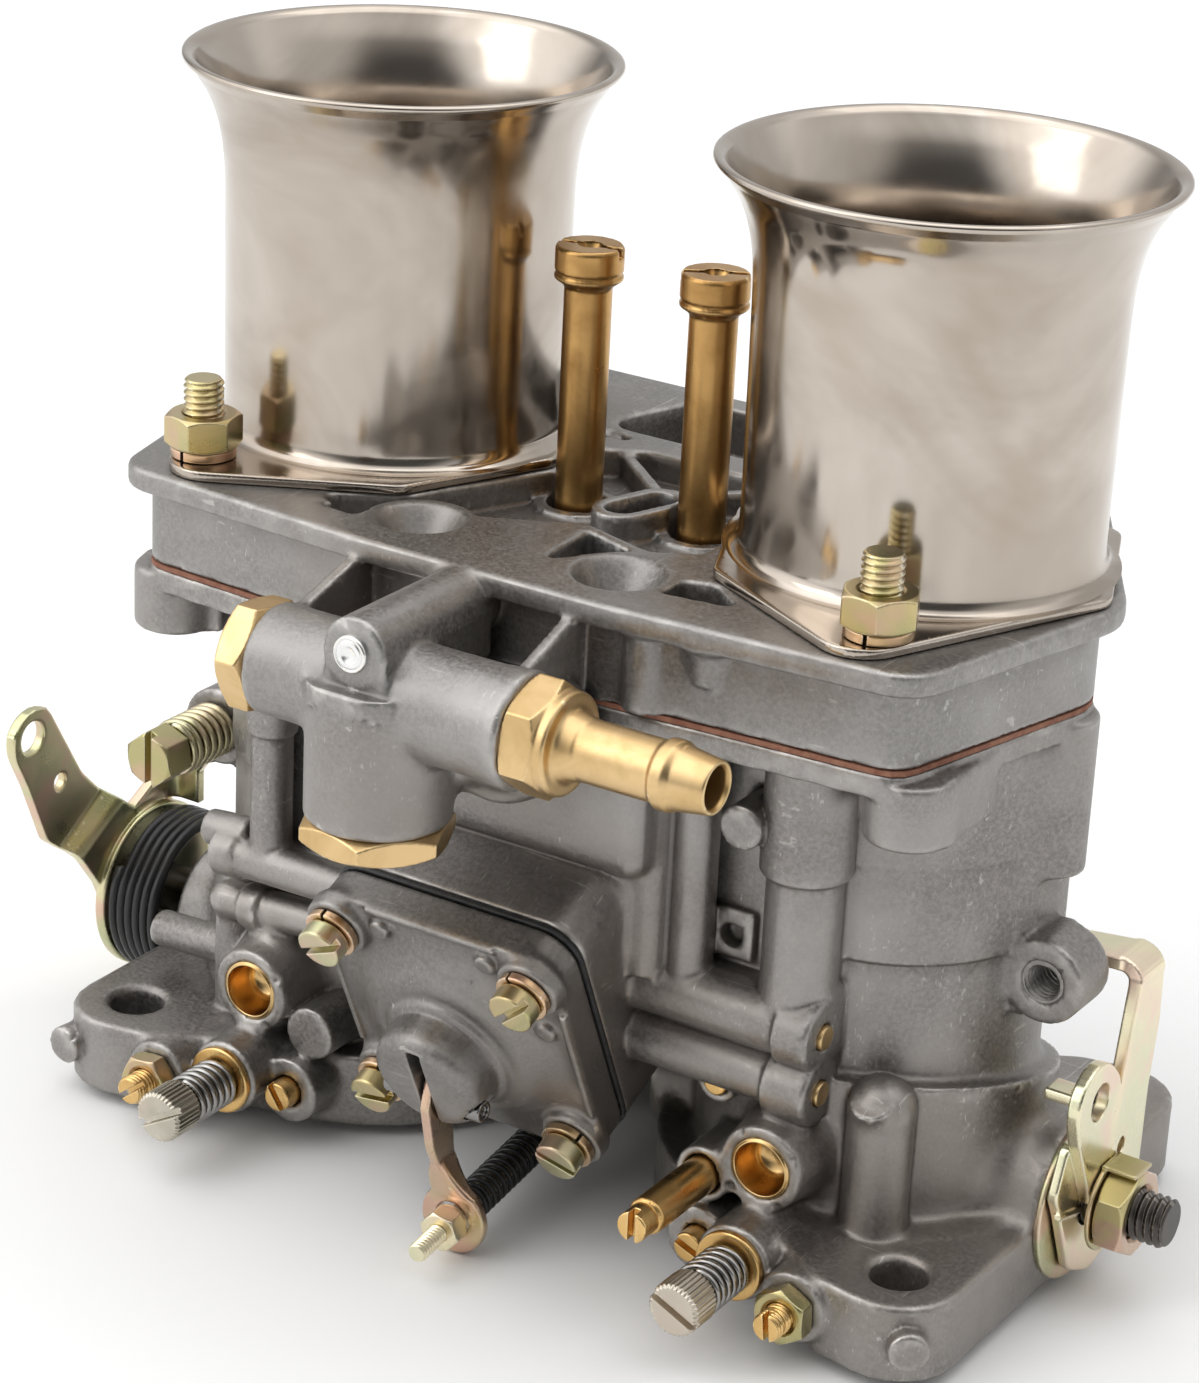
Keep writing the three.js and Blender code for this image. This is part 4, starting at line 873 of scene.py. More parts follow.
def right_details():
    lug = [(28.2, 47.4, 0.3), (36.9, 47.4, 0.3), (36.9, 55, 0.3), (28.2, 55, 4.2)]
    web = [(-31.2, 45.4, 0.8), (-24, 48, 0.8), (-20, 46, 0), (-20, 37, 0), (-28, 37, 0)]
    return [
        (box((24, -24.6, 43), (45, -14, BODY_TOP - 2), 0.5), 1.2),
        (bar((44.8, -26.5, 40), (44.8, -26.5, 66), 5.5), 0.9),
        (bar((44.8, -26.5, 64.3), (44.8, -26.5, BODY_TOP - 1), 6.6, rounding=0.6), 0.5),
        (box((44.8, -24.8, 42), (49.5, -16, 64), 0.5), 0.6),
        (box((37.8, -31, 68.4), (44.8, -22, 74.2), 0.8), 0.6),
        (bar((37.8, -33.6, 71.3), (37.8, -22, 71.3), 3.3, rounding=0.4), 0.3),
        (box((12, -28.4, 37.6), (46, -18, 46), 0.5), 0.5),
        (bar((10, -28.5, 41.5), (50.4, -28.5, 41.5), 4.5, rounding=0.4), 0.8),
        (bar((44.6, -28.5, 41.2), (50.4, -28.5, 41.2), 5.3, rounding=0.5), 0.4),
        (plate(web, 44.8, 50.4, axis=0, rounding=0.4), 0.6),
        (bar((10, -28.5, 32.7), (50.4, -28.5, 32.7), 4.0, rounding=0.4), 0.6),
        (bar((43.2, -28.5, 32.4), (50.4, -28.5, 32.4), 4.9, rounding=0.5), 0.4),
        (box((38, -26.4, 28), (50.2, -18, 46), 0.6), 0.8),
        (bar((22.5, -31, 44), (22.5, -31, BODY_TOP - 1), 3.0), 1.0),
        (bar((28.2, -28.4, 44), (28.2, -28.4, BODY_TOP - 1), 3.3), 0.9),
        (plate(lug, -26.2, -20, axis=1, rounding=0.4), 0.4),
        (bar((34.3, -29.2, 29.2), (34.3, -18, 29.2), 3.3, rounding=0.4), 0.8),
        (bar((IDLE_JET_X, -34.4, IDLE_JET_Z), (IDLE_JET_X, -20, IDLE_JET_Z), 4.3, rounding=0.4), 1.0),
        (bar((45, -34.4, CUP_Z), (45, -18, CUP_Z), 6.4, 8.2, rounding=0.5), 2.2),
        (bar((40, -33.2, 19), (37, -20, 18), 3.6), 0.8),
        (bar((58.3, -24.2, 12), (58.3, -24.2, 31), 4.8), 1.2),
        (ball((58.3, -24.2, 31), 4.8), 0.6),
        (bar((58.3, -25.0, 29.6), (58.3, -27.4, 33.4), 3.3, rounding=0.3), 0.3),
        (bar((75, -43.2, 6.4), (70, -36, 6.4), 2.9, rounding=0.3), 0.3),
    ]


def left_details():
    return [
        (bar((-46, -28, 40), (-46, -28, 64), 3.25), 1.0),
        (bar((-46, -28, 61.6), (-46, -28, BODY_TOP - 1), 3.9, rounding=0.4), 0.3),
        (box((-52, -24, 36), (-24, -14, 72), 0.8), 1.2),
        (box((-46, -30.5, 70), (-20, -16, BODY_TOP - 1), 1.5), 2.0),
        (bar((-55, -28.5, 39.8), (-18, -30, 41.2), 3.25, rounding=0.4), 0.8),
        (bar((-55, -28.5, 39.8), (-50.6, -28.5, 40), 3.9, rounding=0.5), 0.3),
        (bar((-58.3, -27, 42.1), (-50, -27, 42.9), 2.8, rounding=0.5), 0.4),
        (bar((-54.5, -27, 31), (-16, -29, 34.6), 2.95), 0.9),
        (ball((-54.5, -27, 31), 3.0), 0.4),
        (bar((-50.5, -27.4, 31.4), (-46.7, -27.6, 31.7), 3.6, rounding=0.4), 0.3),
        (box((-56, -25, 27), (-24, -16, 42), 0.8), 1.0),
        (bar((-54.8, -25.6, 12), (-54.8, -25.6, 31), 2.7), 1.0),
        (bar((-44.6, -27.8, 22), (-44.6, -27.8, 32), 2.5), 0.8),
        (bar((-72.4, -21, 18.4), (-55, -23.4, 20.6), 2.95, rounding=0.5), 1.2),
        (bar((-45, -34.4, CUP_Z), (-44.4, -18, CUP_Z), 6.4, 9.6, rounding=0.5), 2.2),
        (bar((-34.4, -33.4, 16.5), (-34.4, -22, 16.5), 4.2, rounding=0.4), 0.8),
        (bar((-74.2, -43.4, 6), (-73.2, -36, 6), 2.95, rounding=0.3), 0.3),
    ]


def throttle_body():
    made = Block((-80, -62, 0), (80, 47, BODY_TOP), 0.46)
    for s in (-1, 1):
        ears = HALF_EARS if s > 0 else mirrored(HALF_EARS)
        made.add(plate(ears, 0, 12, rounding=0.9))
        made.add(bar((s * BARREL_X, 0, 0), (s * BARREL_X, 0, 12), 32, rounding=0.9), 1.0)
    made.add(box((-24.5, -38, 60), (24.5, 38, BODY_TOP - 1), 3.0), 0)
    made.add(box((-24, -16, 26), (24, 22, 61), 2.0), 2.0)
    made.add(box((-20, 14, 0), (20, 26, 12), 0.8), 1.5)
    made.add(box((-20, 16, 11), (20, 22, 30), 0.8), 1.5)
    back = -5.5 - 1.2
    made.add(placed(plate(PUMP_OUTLINE, back - 15, back, rounding=0.5), PUMP))
    neck = [(x * 17.5, y * 18, 6) for x, y in SQUARE]
    made.add(placed(plate(neck, back - 26, back - 13), PUMP), 2.5)
    made.add(box((-20.6, -34, 40), (20.6, -12, 64), 2.5), 3.0)
    made.add(box((-22.5, -34, 46), (22.5, -22, 66), 2.5), 2.5)
    for s in (-1, 1):
        for shape, blend in barrel_shapes(s):
            made.add(shape, blend)
    for shape, blend in right_details() + left_details():
        made.add(shape, blend)
    made.add(plate(RIM_OUTLINE, BODY_TOP - 3.6, BODY_TOP, rounding=0.35), 0.6)
    made.cut(ring((-46, -28, 61.4), 2, 3.9, 0.35))
    for s in (-1, 1):
        x = s * BARREL_X
        made.cut(bar((x, 0, -2), (x, 0, BODY_TOP + 2), 20))
        for y in (-EAR_HOLE[1], EAR_HOLE[1]):
            made.cut(bar((s * EAR_HOLE[0], y, -2), (s * EAR_HOLE[0], y, 14), EAR_HOLE[2]))
            made.cut(bar((s * EAR_HOLE[0], y, 11.2), (s * EAR_HOLE[0], y, 12.6), 4.2, 5.6))
        made.cut(bar((s * JET_X, JET_Y, 46), (s * JET_X, JET_Y, BODY_TOP + 2), 3.8))
        made.cut(bar((s * 45, -36, CUP_Z), (s * 45, -27.2, CUP_Z), 4.7))
        for angle in (0.6, 2.2, 3.9, 5.3):
            u, v = 6.1 * math.cos(angle), 6.1 * math.sin(angle)
            made.cut(ball((s * 45 + u, -34.6, CUP_Z + v), 0.8), 0.3)
        made.cut(bar((x, MIX_FACE - 2, MIX_Z), (x, -25, MIX_Z), 2.6))
        made.cut(bar((s * 56, -46, BYPASS_Z), (s * 56, -33, BYPASS_Z), 2.35))
        made.cut(bar((s * 36.5, -38, 7.2), (s * 36.5, -30, 7.2), 2.55))
        made.cut(bar((s * LUG_X, -9, LUG_Z), (s * LUG_X, 4, LUG_Z), 3.2))
    for z in PASSAGE_PLUGS:
        made.cut(bar((53, -28.5, z), (47, -28.5, z), 1.95))
    made.cut(bar((34.3, -30.4, 29.2), (34.3, -25, 29.2), 2.0))
    made.cut(bar((33.3, -27.2, 50.8), (33.3, -23.2, 50.8), 1.8), 0.3)
    made.cut(bar((IDLE_JET_X, -36, IDLE_JET_Z), (IDLE_JET_X, -22, IDLE_JET_Z), 3.1))
    made.cut(bar((-79, 0, SHAFT_Z), (79, 0, SHAFT_Z), 4.2))
    made.cut(box((-19, 8, 64), (19, 34, BODY_TOP + 2), 2.0))
    made.cut(box((-19, -32, 66), (19, -10, BODY_TOP + 2), 2.0))
    made.cut(placed(bar((0, 0, back - 12), (0, 0, back + 2), 13), PUMP))
    made.cut(box((-12, -62, -2), (12, 13, 25), 1.5))
    for x, y in PUMP_SCREWS:
        made.cut(placed(bar((x, y, back - 6), (x, y, back + 1), 2.3), PUMP))
    return made.polygons(0.02)


# ---- top cover ----
RECESS = [
    (-36, -31, 1.5), (-30, -34, 1.5), (-14, -24.8, 2), (1, -17, 2), (13.5, -21, 2), (20, -17, 2),
    (17.5, 10, 4), (9, 15, 3), (-9, 15, 3), (-17.5, 10, 4), (-15, -1, 3), (-25, -23, 2),
]
FUNNELS = ((-18.8, -30.4), (15.0, -31.4))
VENT_AT, VENT_TURN = np.array([1.6, -4.1]), math.radians(71.5)


def vent_slot(low, high, r, rounding=0.0):
    """A slot with round ends, standing where the vent is."""
    lead = np.array([math.cos(VENT_TURN), math.sin(VENT_TURN)])

    def distance(x, y, z):
        u, v = x - VENT_AT[0], y - VENT_AT[1]
        t = np.clip(u * lead[0] + v * lead[1], -3.6, 3.6)
        flat = np.hypot(u - t * lead[0], v - t * lead[1]) - r
        cap = np.abs(z - (low + high) / 2) - (high - low) / 2
        return outer_box(flat + rounding, cap + rounding) - rounding

    reach = 3.6 + r
    return Shape([*(VENT_AT - reach), low], [*(VENT_AT + reach), high], distance)


def rib(x0, y0, x1, y1, half, low, high):
    """A straight web between two points."""
    d = np.array([x1 - x0, y1 - y0], float)
    across = np.array([-d[1], d[0]]) / np.hypot(*d) * half
    a, b = np.array([x0, y0]), np.array([x1, y1])
    return plate(
        [(*(a - across), 0), (*(b - across), 0), (*(b + across), 0), (*(a + across), 0)], low, high,
        rounding=0.4,
    )


def cover_recesses(made):
    floor = 98.0
    made.cut(plate(RECESS, floor, COVER_TOP + 2, rounding=0.4), 0.7)
    for corners in (
        [(3.4, -33, 0.8), (9, -26, 0.8), (11.5, -22.6, 0.6), (2.6, -19.4, 0.8)],
        [(22.8, -33.6, 1), (34.5, -32, 1), (28, -26.4, 1.2), (23.2, -28, 1)],
        [(-34.6, -34.2, 0.6), (-27.5, -35.2, 0.6), (-24.6, -30.4, 1), (-28.5, -31.6, 1)],
    ):
        made.cut(plate(corners, floor, COVER_TOP + 2, rounding=0.3), 0.6)
    made.cut(
        plate([(-22, 22, 4), (22, 22, 4), (16, 40.5, 3), (-16, 40.5, 3)], 95, COVER_TOP + 2, rounding=0.4),
        0.8,
    )
    for s in (-1, 1):
        made.cut(
            plate(
                [(s * 20.5, 16.5, 1.5), (s * 11.5, 18.0, 1.0), (s * 19, 20.5, 1.0)][::s], floor,
                COVER_TOP + 2,
            ),
            0.5,
        )


def inlet_casting(made):
    low_end, high_end = INLET_LEFT, INLET_RIGHT
    made.add(bar((low_end, INLET_Y, INLET_Z), (high_end, INLET_Y, INLET_Z), 7.9, rounding=0.5))
    made.add(bar((high_end - 5, INLET_Y, INLET_Z), (high_end, INLET_Y, INLET_Z), 7.7, 8.3, rounding=0.5), 0.8)
    made.add(bar((FILTER_X, INLET_Y, FILTER_BASE), (FILTER_X, INLET_Y, 90), 10.3, rounding=0.8), 1.4)
    made.add(bar((10.2, -53.4, 79.4), (8, -46, 82), 6.9, 8.0, rounding=1.5), 3.5)
    made.add(bar((15.2, -50.5, 83.5), (12, -44, 84), 7.4, 8.0, rounding=1.5), 3.0)
    made.add(box((-10, -56, FILTER_BASE + 6), (13, -40.8, 90), 2.5), 2.5)

    def ledge(x, y, z):
        angle = np.arctan2(y - INLET_Y, x - FILTER_X)
        ragged = 0.35 * np.sin(angle * 17) + 0.25 * np.sin(angle * 41 + 1.3)
        rad = np.hypot(x - FILTER_X, y - INLET_Y)
        return outer_box(rad - 10.85, np.abs(z - 90.5 + ragged * 0.5) - 1.5 - ragged * 0.5)

    made.add(Shape((FILTER_X - 11, INLET_Y - 11, 88.4), (FILTER_X + 11, INLET_Y + 11, 92.4), ledge), 0.15)
    made.add(box((-8.2, -67.6, 90.3), (1.8, -42, 97.4), 0.5), 0.7)
    made.add(bar((-3.3, -67.8, 97.4), (-3.3, -38, 97.4), 4.95, rounding=0.5), 0.8)
    made.add(
        plate([(-60, 88, 0), (-60, 95, 1.0), (-38, 101.4, 0), (-38, 88, 0)], -22, -20, axis=0, rounding=0.5),
        1.0,
    )
    made.add(
        plate(
            [(-55, 88, 0), (-55, 95, 1.0), (-38, 101.4, 0), (-38, 88, 0)], 13.6, 15.6, axis=0, rounding=0.5,
        ),
        1.0,
    )


def cover():
    made = Block((-78, -69, 66), (78, 48, COVER_TOP + 0.3), 0.46)
    made.add(plate(RIM_OUTLINE, COVER_BASE, COVER_TOP - 1, rounding=0.4))
    made.add(plate(COVER_OUTLINE, COVER_TOP - 3.6, COVER_TOP, rounding=0.9), 0.8)
    inlet_casting(made)
    made.add(bar((24.5, -39.4, COVER_BASE), (24.5, -39.4, COVER_TOP - 3), 2.6), 1.2)
    made.add(bar((34, -38.2, COVER_TOP - 9), (34, -38.2, COVER_TOP - 3), 1.6, 3.2), 2.0)
    cover_recesses(made)
    for x, y in FUNNELS:
        made.add(bar((x, y, 92), (x, y, COVER_TOP - 0.1), 8.2, rounding=0.3), 0.6)
    for s in (-1, 1):
        made.add(bar((s * JET_X, JET_Y, 90), (s * JET_X, JET_Y, COVER_TOP - 3.6), 6.6), 0.8)
    made.add(rib(-19, 20, 0, 3, 0.95, 93, COVER_TOP - 0.7), 0.9)
    made.add(rib(19, 20, 3, 3, 0.95, 93, COVER_TOP - 0.7), 0.9)
    made.add(vent_slot(93, COVER_TOP - 0.3, 4.4, 0.5), 0.7)
    for s in (-1, 1):
        x = s * BARREL_X
        made.cut(bar((x, 0, COVER_BASE - 2), (x, 0, COVER_TOP + 2), 22))
        made.cut(bar((s * JET_X, JET_Y, COVER_BASE - 2), (s * JET_X, JET_Y, COVER_TOP + 2), 4.7))
    for x, y in FUNNELS:
        made.cut(bar((x, y, 95.5), (x, y, COVER_TOP + 0.6), 2.0, 7.0), 0.5)
        made.cut(bar((x, y, 91), (x, y, 97), 2.3), 0.4)
    for x, y in STUDS:
        made.cut(bar((x, y, 91), (x, y, COVER_TOP + 2), 3.3))
    made.cut(vent_slot(94, COVER_TOP + 2, 2.5), 0.5)
    made.cut(bar((INLET_LEFT - 1, INLET_Y, INLET_Z), (INLET_RIGHT + 1, INLET_Y, INLET_Z), 6.1))
    made.cut(bar((FILTER_X, INLET_Y, FILTER_BASE - 2), (FILTER_X, INLET_Y, INLET_Z), 8.6))
    made.cut(box((-18, 16, COVER_BASE - 2), (18, 33, 92), 1.0))
    return made.polygons(0.02)


piece("body_casting", [throttle_body()], CAST_BODY, STATIC, "throttle_body")
piece("cover_casting", [cover()], CAST_COVER, STATIC, "top_cover")


# ---- accelerator pump ----
def pump_cover():
    made = Block((-21.5, -22, -6), (21.5, 22, 12), 0.28)
    made.add(plate(PUMP_OUTLINE, -5.5, 0, rounding=0.5))
    made.add(bar((0, -1, -1), (0, -1, 3.4), 18.2, 12.5, rounding=1.0), 2.0)
    made.add(bar((0, -1.5, -1), (0, -1.5, 4.6), 10.6, 10.0, rounding=0.6), 1.2)
    made.add(bar((0, -1.5, -1), (0, -1.5, 11), 9.1, 8.8, rounding=2.6), 0.8)
    for x, y in PUMP_SCREWS:
        made.add(bar((x, y, -1), (x, y, 1.9), 4.9, rounding=0.6), 1.6)
    for x, y in ((-9, 17.6), (9, 17.6), (16.6, 6.5)):
        made.add(bar((x, y, -1), (x, y, 1.2), 1.6, rounding=0.5), 0.8)
    for i in (-1, 1):
        made.add(box((i * 20.0 - 0.5, -11, -1), (i * 20.0 + 0.5, 11, 0.6), 0.3), 0.4)
    made.add(box((-11, 20.1, -1), (11, 21.1, 0.6), 0.3), 0.4)
    for x, y in PUMP_SCREWS:
        made.cut(bar((x, y, -8), (x, y, 4), 2.3))
    made.cut(bar((0, 0, -7), (0, 0, -2.4), 13))
    made.cut(box((-4, -7.6, -3), (4, 4.6, 6.5)))
    made.cut(box((-1.15, -30, 1.0), (1.15, 5.4, 24), 0.2), 0.25)
    made.cut(bar((-12, -5.8, 8.8), (12, -5.8, 8.8), 1.75))
    made.cut(bar((7.0, -5.8, 8.8), (12, -5.8, 8.8), 2.5), 0.2)
    made.cut(bar((-12, -5.8, 8.8), (-7.0, -5.8, 8.8), 2.5), 0.2)
    return moved(made.polygons(0.02), PUMP)


piece("pump_cover_casting", [pump_cover()], CAST_PUMP, STATIC, "pump_cover")
half = [(x * 20.9, y * 21.4, 6) for x, y in SQUARE]
holes = [(x, y, 2.3) for x, y in PUMP_SCREWS] + [(0, 0, 3.2)]
diaphragm = solid([plate(half, -6.5, -5.7, rounding=0.2, holes=holes)], 0.2)
piece("pump_diaphragm_sheet", [moved(diaphragm, PUMP)], RUBBER, STATIC, "pump_diaphragm")


def slotted_head(length, r, slot_w, slot_d, dome=0.25, stem=None, turn=0.0):
    """A cheese head on local +Z, its slot in the top, with an optional stem (radius, length) below."""
    shapes = [bar((0, 0, 0), (0, 0, length), r, rounding=dome)]
    if stem:
        shapes.append(bar((0, 0, -stem[1]), (0, 0, 0.2), stem[0]))
    cutter = box((-r - 1, -slot_w / 2, length - slot_d), (r + 1, slot_w / 2, length + 1))
    slot = placed(cutter, turned_by(turn))
    return solid(shapes, 0.13, [slot])


def split_washer(r, hole, thickness, turn=0.0):
    """A spring washer on local +Z with the gap where its ends face each other."""
    disc = bar((0, 0, 0), (0, 0, thickness), r, rounding=0.2)
    bore = bar((0, 0, -1), (0, 0, thickness + 1), hole)
    gap = placed(box((0, -0.25, -1), (r + 1, 0.25, thickness + 1)), turned_by(turn))
    return solid([disc], 0.13, [bore, gap])


BRONZE_WASHER = passivated("bronze_washer", 0.5, (0.66, 0.42, 0.24), (0.50, 0.34, 0.17), (0.72, 0.44, 0.32))
for row, j, turns in (("upper", 1, (0.45, 0.75)), ("lower", -1, (0.2, -0.35))):
    for (side, i), turn in zip(SIDES, turns):
        name = f"pump_screw_{row}_{side}"
        head = slotted_head(3.0, 3.4, 1.15, 1.5, 0.35, (2.0, 12.8), turn)
        head_at = PUMP @ np.array(shift(i * 16.3, j * 16.2, 3.4))
        piece(f"{name}_head", [moved(head, head_at)], ZINC_NUT if i + j else ZINC, STATIC, name)
        washer = split_washer(4.1, 2.2, 1.3, turn + 1.2)
        washer_at = PUMP @ np.array(shift(i * 16.3, j * 16.2, 2.0))
        piece(f"{name}_washer", [moved(washer, washer_at)], BRONZE_WASHER, STATIC)


# ---- trumpets, their studs and nuts ----
def trumpet(s):
    x = s * BARREL_X
    base, top = COVER_TOP + 0.05, COVER_TOP + 1.55
    outside = smooth_profile([
        (27.9, top - 0.1), (26.8, top + 0.25), (25.9, top + 1.2), (25.55, top + 3.2), (25.5, 112),
        (25.6, 122), (25.7, 134), (25.9, 143), (26.7, 148.7), (28.3, 153.4), (30.7, RIM_Z - 2.2),
    ], 12)
    lip = [
        (31.9, RIM_Z - 1.1), (32.2, RIM_Z - 0.65), (32.15, RIM_Z - 0.25), (31.8, RIM_Z - 0.02),
        (31.2, RIM_Z - 0.05),
    ]
    inside = smooth_profile([
        (30.3, RIM_Z - 0.7), (27.8, 154.6), (25.9, 149.8), (25.0, 144.2), (24.8, 134), (24.6, 122),
        (24.2, 110), (22.6, base),
    ], 12)
    tube = moved(spun(outside + lip + inside, 192), shift(x, 0, 0))
    corners = [(57, -42, 6.5), (74.5, 0, 5), (64, 25, 4), (33, 42, 6.5), (15.5, 0, 5), (26, -25, 4)]
    corners = corners if s > 0 else mirrored(corners)
    holes = [(x, 0, 23.2)] + [(px, py, 3.3) for px, py in STUDS if px * s > 0]
    foot = solid([plate(corners, base, top, rounding=0.35, holes=holes, steps=10)], 0.3, adaptivity=0.01)
    return [tube, foot]


for side, s in SIDES:
    piece(f"trumpet_{side}_shell", trumpet(s), NICKEL, STATIC, f"trumpet_{side}")

stud_mesh = solid([threaded(STUD_TOP - COVER_TOP + 2, 3.0, 1.0, 0.5)], 0.12)
nut_turns = {"front_left": 0.25, "rear_left": 0.6, "front_right": 0.42, "rear_right": 0.1}
for side, s in SIDES:
    for end, sy in (("front", -1), ("rear", 1)):
        label = f"{end}_{side}"
        at = middle(f"trumpet_stud_{label}")
        seat = shift(at[0], at[1], COVER_TOP - 2)
        piece(f"stud_{label}", [moved(stud_mesh, seat)], ZINC_NUT, STATIC, f"trumpet_stud_{label}")
        bore = [bar((0, 0, -1), (0, 0, 6), 2.75), bar((0, 0, 4.4), (0, 0, 5.0), 2.75, 3.4)]
        nut = moved(
            solid([hexagon(4.9, 10, turn=nut_turns[label])], 0.16, bore),
            shift(at[0], at[1], COVER_TOP + 3.15),
        )
        piece(f"nut_{label}", [nut], ZINC_NUT, STATIC, f"trumpet_nut_{label}")
        washer = split_washer(4.8, 3.1, 1.45, nut_turns[label] + 4.4)
        washer = moved(washer, shift(at[0], at[1], COVER_TOP + 1.65))
        piece(f"nut_washer_{label}", [washer], BRONZE_WASHER, STATIC)


# ---- inside the barrels ----
def venturi_ring():
    profile = [
        (19.8, 42), (18.6, 42.2), (16.6, 48), (15.0, 54.6), (15.3, 59), (17.2, 64.5), (19.2, 69.6),
        (19.8, 70),
    ]
    return spun(smooth_profile(profile, 6), 96)


def auxiliary_ring():
    band = bar((0, 0, 70.3), (0, 0, 84), 19.8, rounding=0.3)
    ring_part = solid([band], 0.5, [bar((0, 0, 69), (0, 0, 86), 18.3)])
    horn = solid(
        [(bar((0, 0, 60), (0, 0, 82), 6.0, rounding=0.6), 0), (box((-19, -2, 73), (19, 2, 81), 1.6), 1.2)],
        0.4,
        [bar((0, 0, 58), (0, 0, 70), 5.2, 4.2), bar((0, 0, 69), (0, 0, 84), 4.2, 5.2)],
    )
    return [ring_part, horn]


for side, s in SIDES:
    seat = shift(s * BARREL_X, 0, 0)
    piece(f"venturi_{side}_ring", [moved(venturi_ring(), seat)], CAST_COVER, STATIC, f"venturi_{side}")
    name = f"auxiliary_venturi_{side}"
    piece(f"{name}_body", [moved(part, seat) for part in auxiliary_ring()], CAST_COVER, STATIC, name)


# ---- jets ----
def jet_holder(turn):
    h = JET_TOP
    foot = [(2.9, 50), (2.9, 86), (3.5, 87)]
    head = [(3.5, h - 6.2), (4.0, h - 5.6), (5.0, h - 4.9), (5.0, h - 0.5), (4.7, h)]
    body = lathe_shape(foot + head)
    slot = placed(box((-6, -0.62, h - 1.5), (6, 0.62, h + 1)), turned_by(turn))
    upper = Shape((-5, -5, 84), (5, 5, h), body.distance)
    bore = [bar((0, 0, h - 5), (0, 0, h + 1), 1.7), bar((0, 0, h - 1.6), (0, 0, h - 0.2), 1.7, 2.4)]
    return solid([upper], 0.22, [slot, *bore, ring((0, 0, h - 4.0), 2, 5.05, 0.3)])


for side, s, turn in (("left", -1, 0.15), ("right", 1, 0.55)):
    holder = moved(jet_holder(turn), shift(s * JET_X, JET_Y, 0))
    piece(f"jet_holder_{side}_stem", [holder], BRASS_Z, STATIC, f"jet_holder_{side}")

idle_jet = [
    bar((0, 0, 0), (0, 0, 4.3), 2.35, rounding=0.3),
    bar((0, 0, 4.0), (0, 0, 26), 2.8, rounding=0.15),
    bar((0, 0, 3.6), (0, 0, 4.2), 2.6, rounding=0.1),
]
idle_jet = solid(idle_jet, 0.15, [box((-4, -0.55, -1), (4, 0.55, 1.7)), ring((0, 0, 3.55), 2, 2.45, 0.22)])
idle_jet_tip = corner_low("idle_jet_holder")[1]
idle_jet = moved(idle_jet, along((IDLE_JET_X, idle_jet_tip, IDLE_JET_Z), (IDLE_JET_X, 0, IDLE_JET_Z)))
piece("idle_jet_stem", [idle_jet], BRASS_Y, STATIC, "idle_jet_holder")

# ---- fuel inlet ----
hex_nut = placed(hexagon(5.4, 14.6, turn=0.38, rounding=0.2), along((INLET_RIGHT + 0.05, 0, 0), (30, 0, 0)))
union_shapes = [
    (bar((9, 0, 0), (20, 0, 0), 5.8), 0),
    (hex_nut, 0),
    (bar((24.2, 0, 0), (26.6, 0, 0), 7.2, rounding=0.5), 0),
    (bar((26.2, 0, 0), (29, 0, 0), 5.2, 4.3), 0.8),
    (bar((26, 0, 0), (42, 0, 0), 4.3), 0.6),
    (bar((40.8, 0, 0), (43.6, 0, 0), 4.9, rounding=0.8), 0.5),
    (bar((43.2, 0, 0), (49, 0, 0), 4.5, 3.7, rounding=0.25), 0.4),
]
union_bore = [bar((8, 0, 0), (50, 0, 0), 2.9), bar((48.4, 0, 0), (49.2, 0, 0), 2.9, 3.3)]
union = solid(union_shapes, 0.22, union_bore)
piece("fuel_union_body", [moved(union, shift(0, INLET_Y, INLET_Z))], BRASS_X, STATIC, "fuel_union")
plug_end = INLET_LEFT - 0.05
plug_hex = placed(hexagon(4.7, 14.6, turn=0.12, rounding=0.25), along((plug_end, 0, 0), (-40, 0, 0)))
plug = solid([plug_hex, bar((plug_end - 0.5, 0, 0), (plug_end + 8, 0, 0), 5.8)], 0.22)
piece("inlet_plug_body", [moved(plug, shift(0, INLET_Y, INLET_Z))], BRASS_X, STATIC, "inlet_plug")
lower_hex = placed(hexagon(3.9, 19.4, turn=0.16, rounding=0.25), along((0, 0, FILTER_BASE - 0.05), (0, 0, 0)))
lower = solid([lower_hex, bar((0, 0, FILTER_BASE - 0.5), (0, 0, FILTER_BASE + 3.9), 8.2)], 0.22)
piece("filter_plug_body", [moved(lower, shift(FILTER_X, INLET_Y, 0))], BRASS_X, STATIC, "filter_plug")
arm_plug = solid(
    [bar((0, 0, 0), (0, 0, 2), 2.7, rounding=0.5)], 0.15,
    [ball((0, 0, 4.0), 2.4), ring((0, 0, 2.0), 2, 2.1, 0.16)],
)
LEAD = turned_brass("bright_plug", (0.86, 0.86, 0.85), (0.55, 0.55, 0.55), (0.16, 0.30), 1)
piece("arm_plug", [moved(arm_plug, along((-3.5, -66.6, 97.3), (-3.5, -69.6, 97.3)))], LEAD, STATIC)

# ---- bores of the two screw lugs: tapped on the right, taken up by the idle speed screw on the left ----
for side, s in SIDES:
    lug = along((s * LUG_X, -6.6, LUG_Z), (s * LUG_X, 4, LUG_Z))
    bore = [bar((0, 0, -1), (0, 0, 10), 2.75)]
    if s > 0:
        bore = [bar((0, 0, -1), (0, 0, 10), 2.45), placed(threaded(11, 3.05, 1.0, 0.6, 0.0), shift(0, 0, -1))]
    sleeve = solid([bar((0, 0, 0), (0, 0, 7.7), 3.3)], 0.13, bore)
    piece(f"lug_bore_{side}", [moved(sleeve, lug)], CAST_BODY, STATIC)

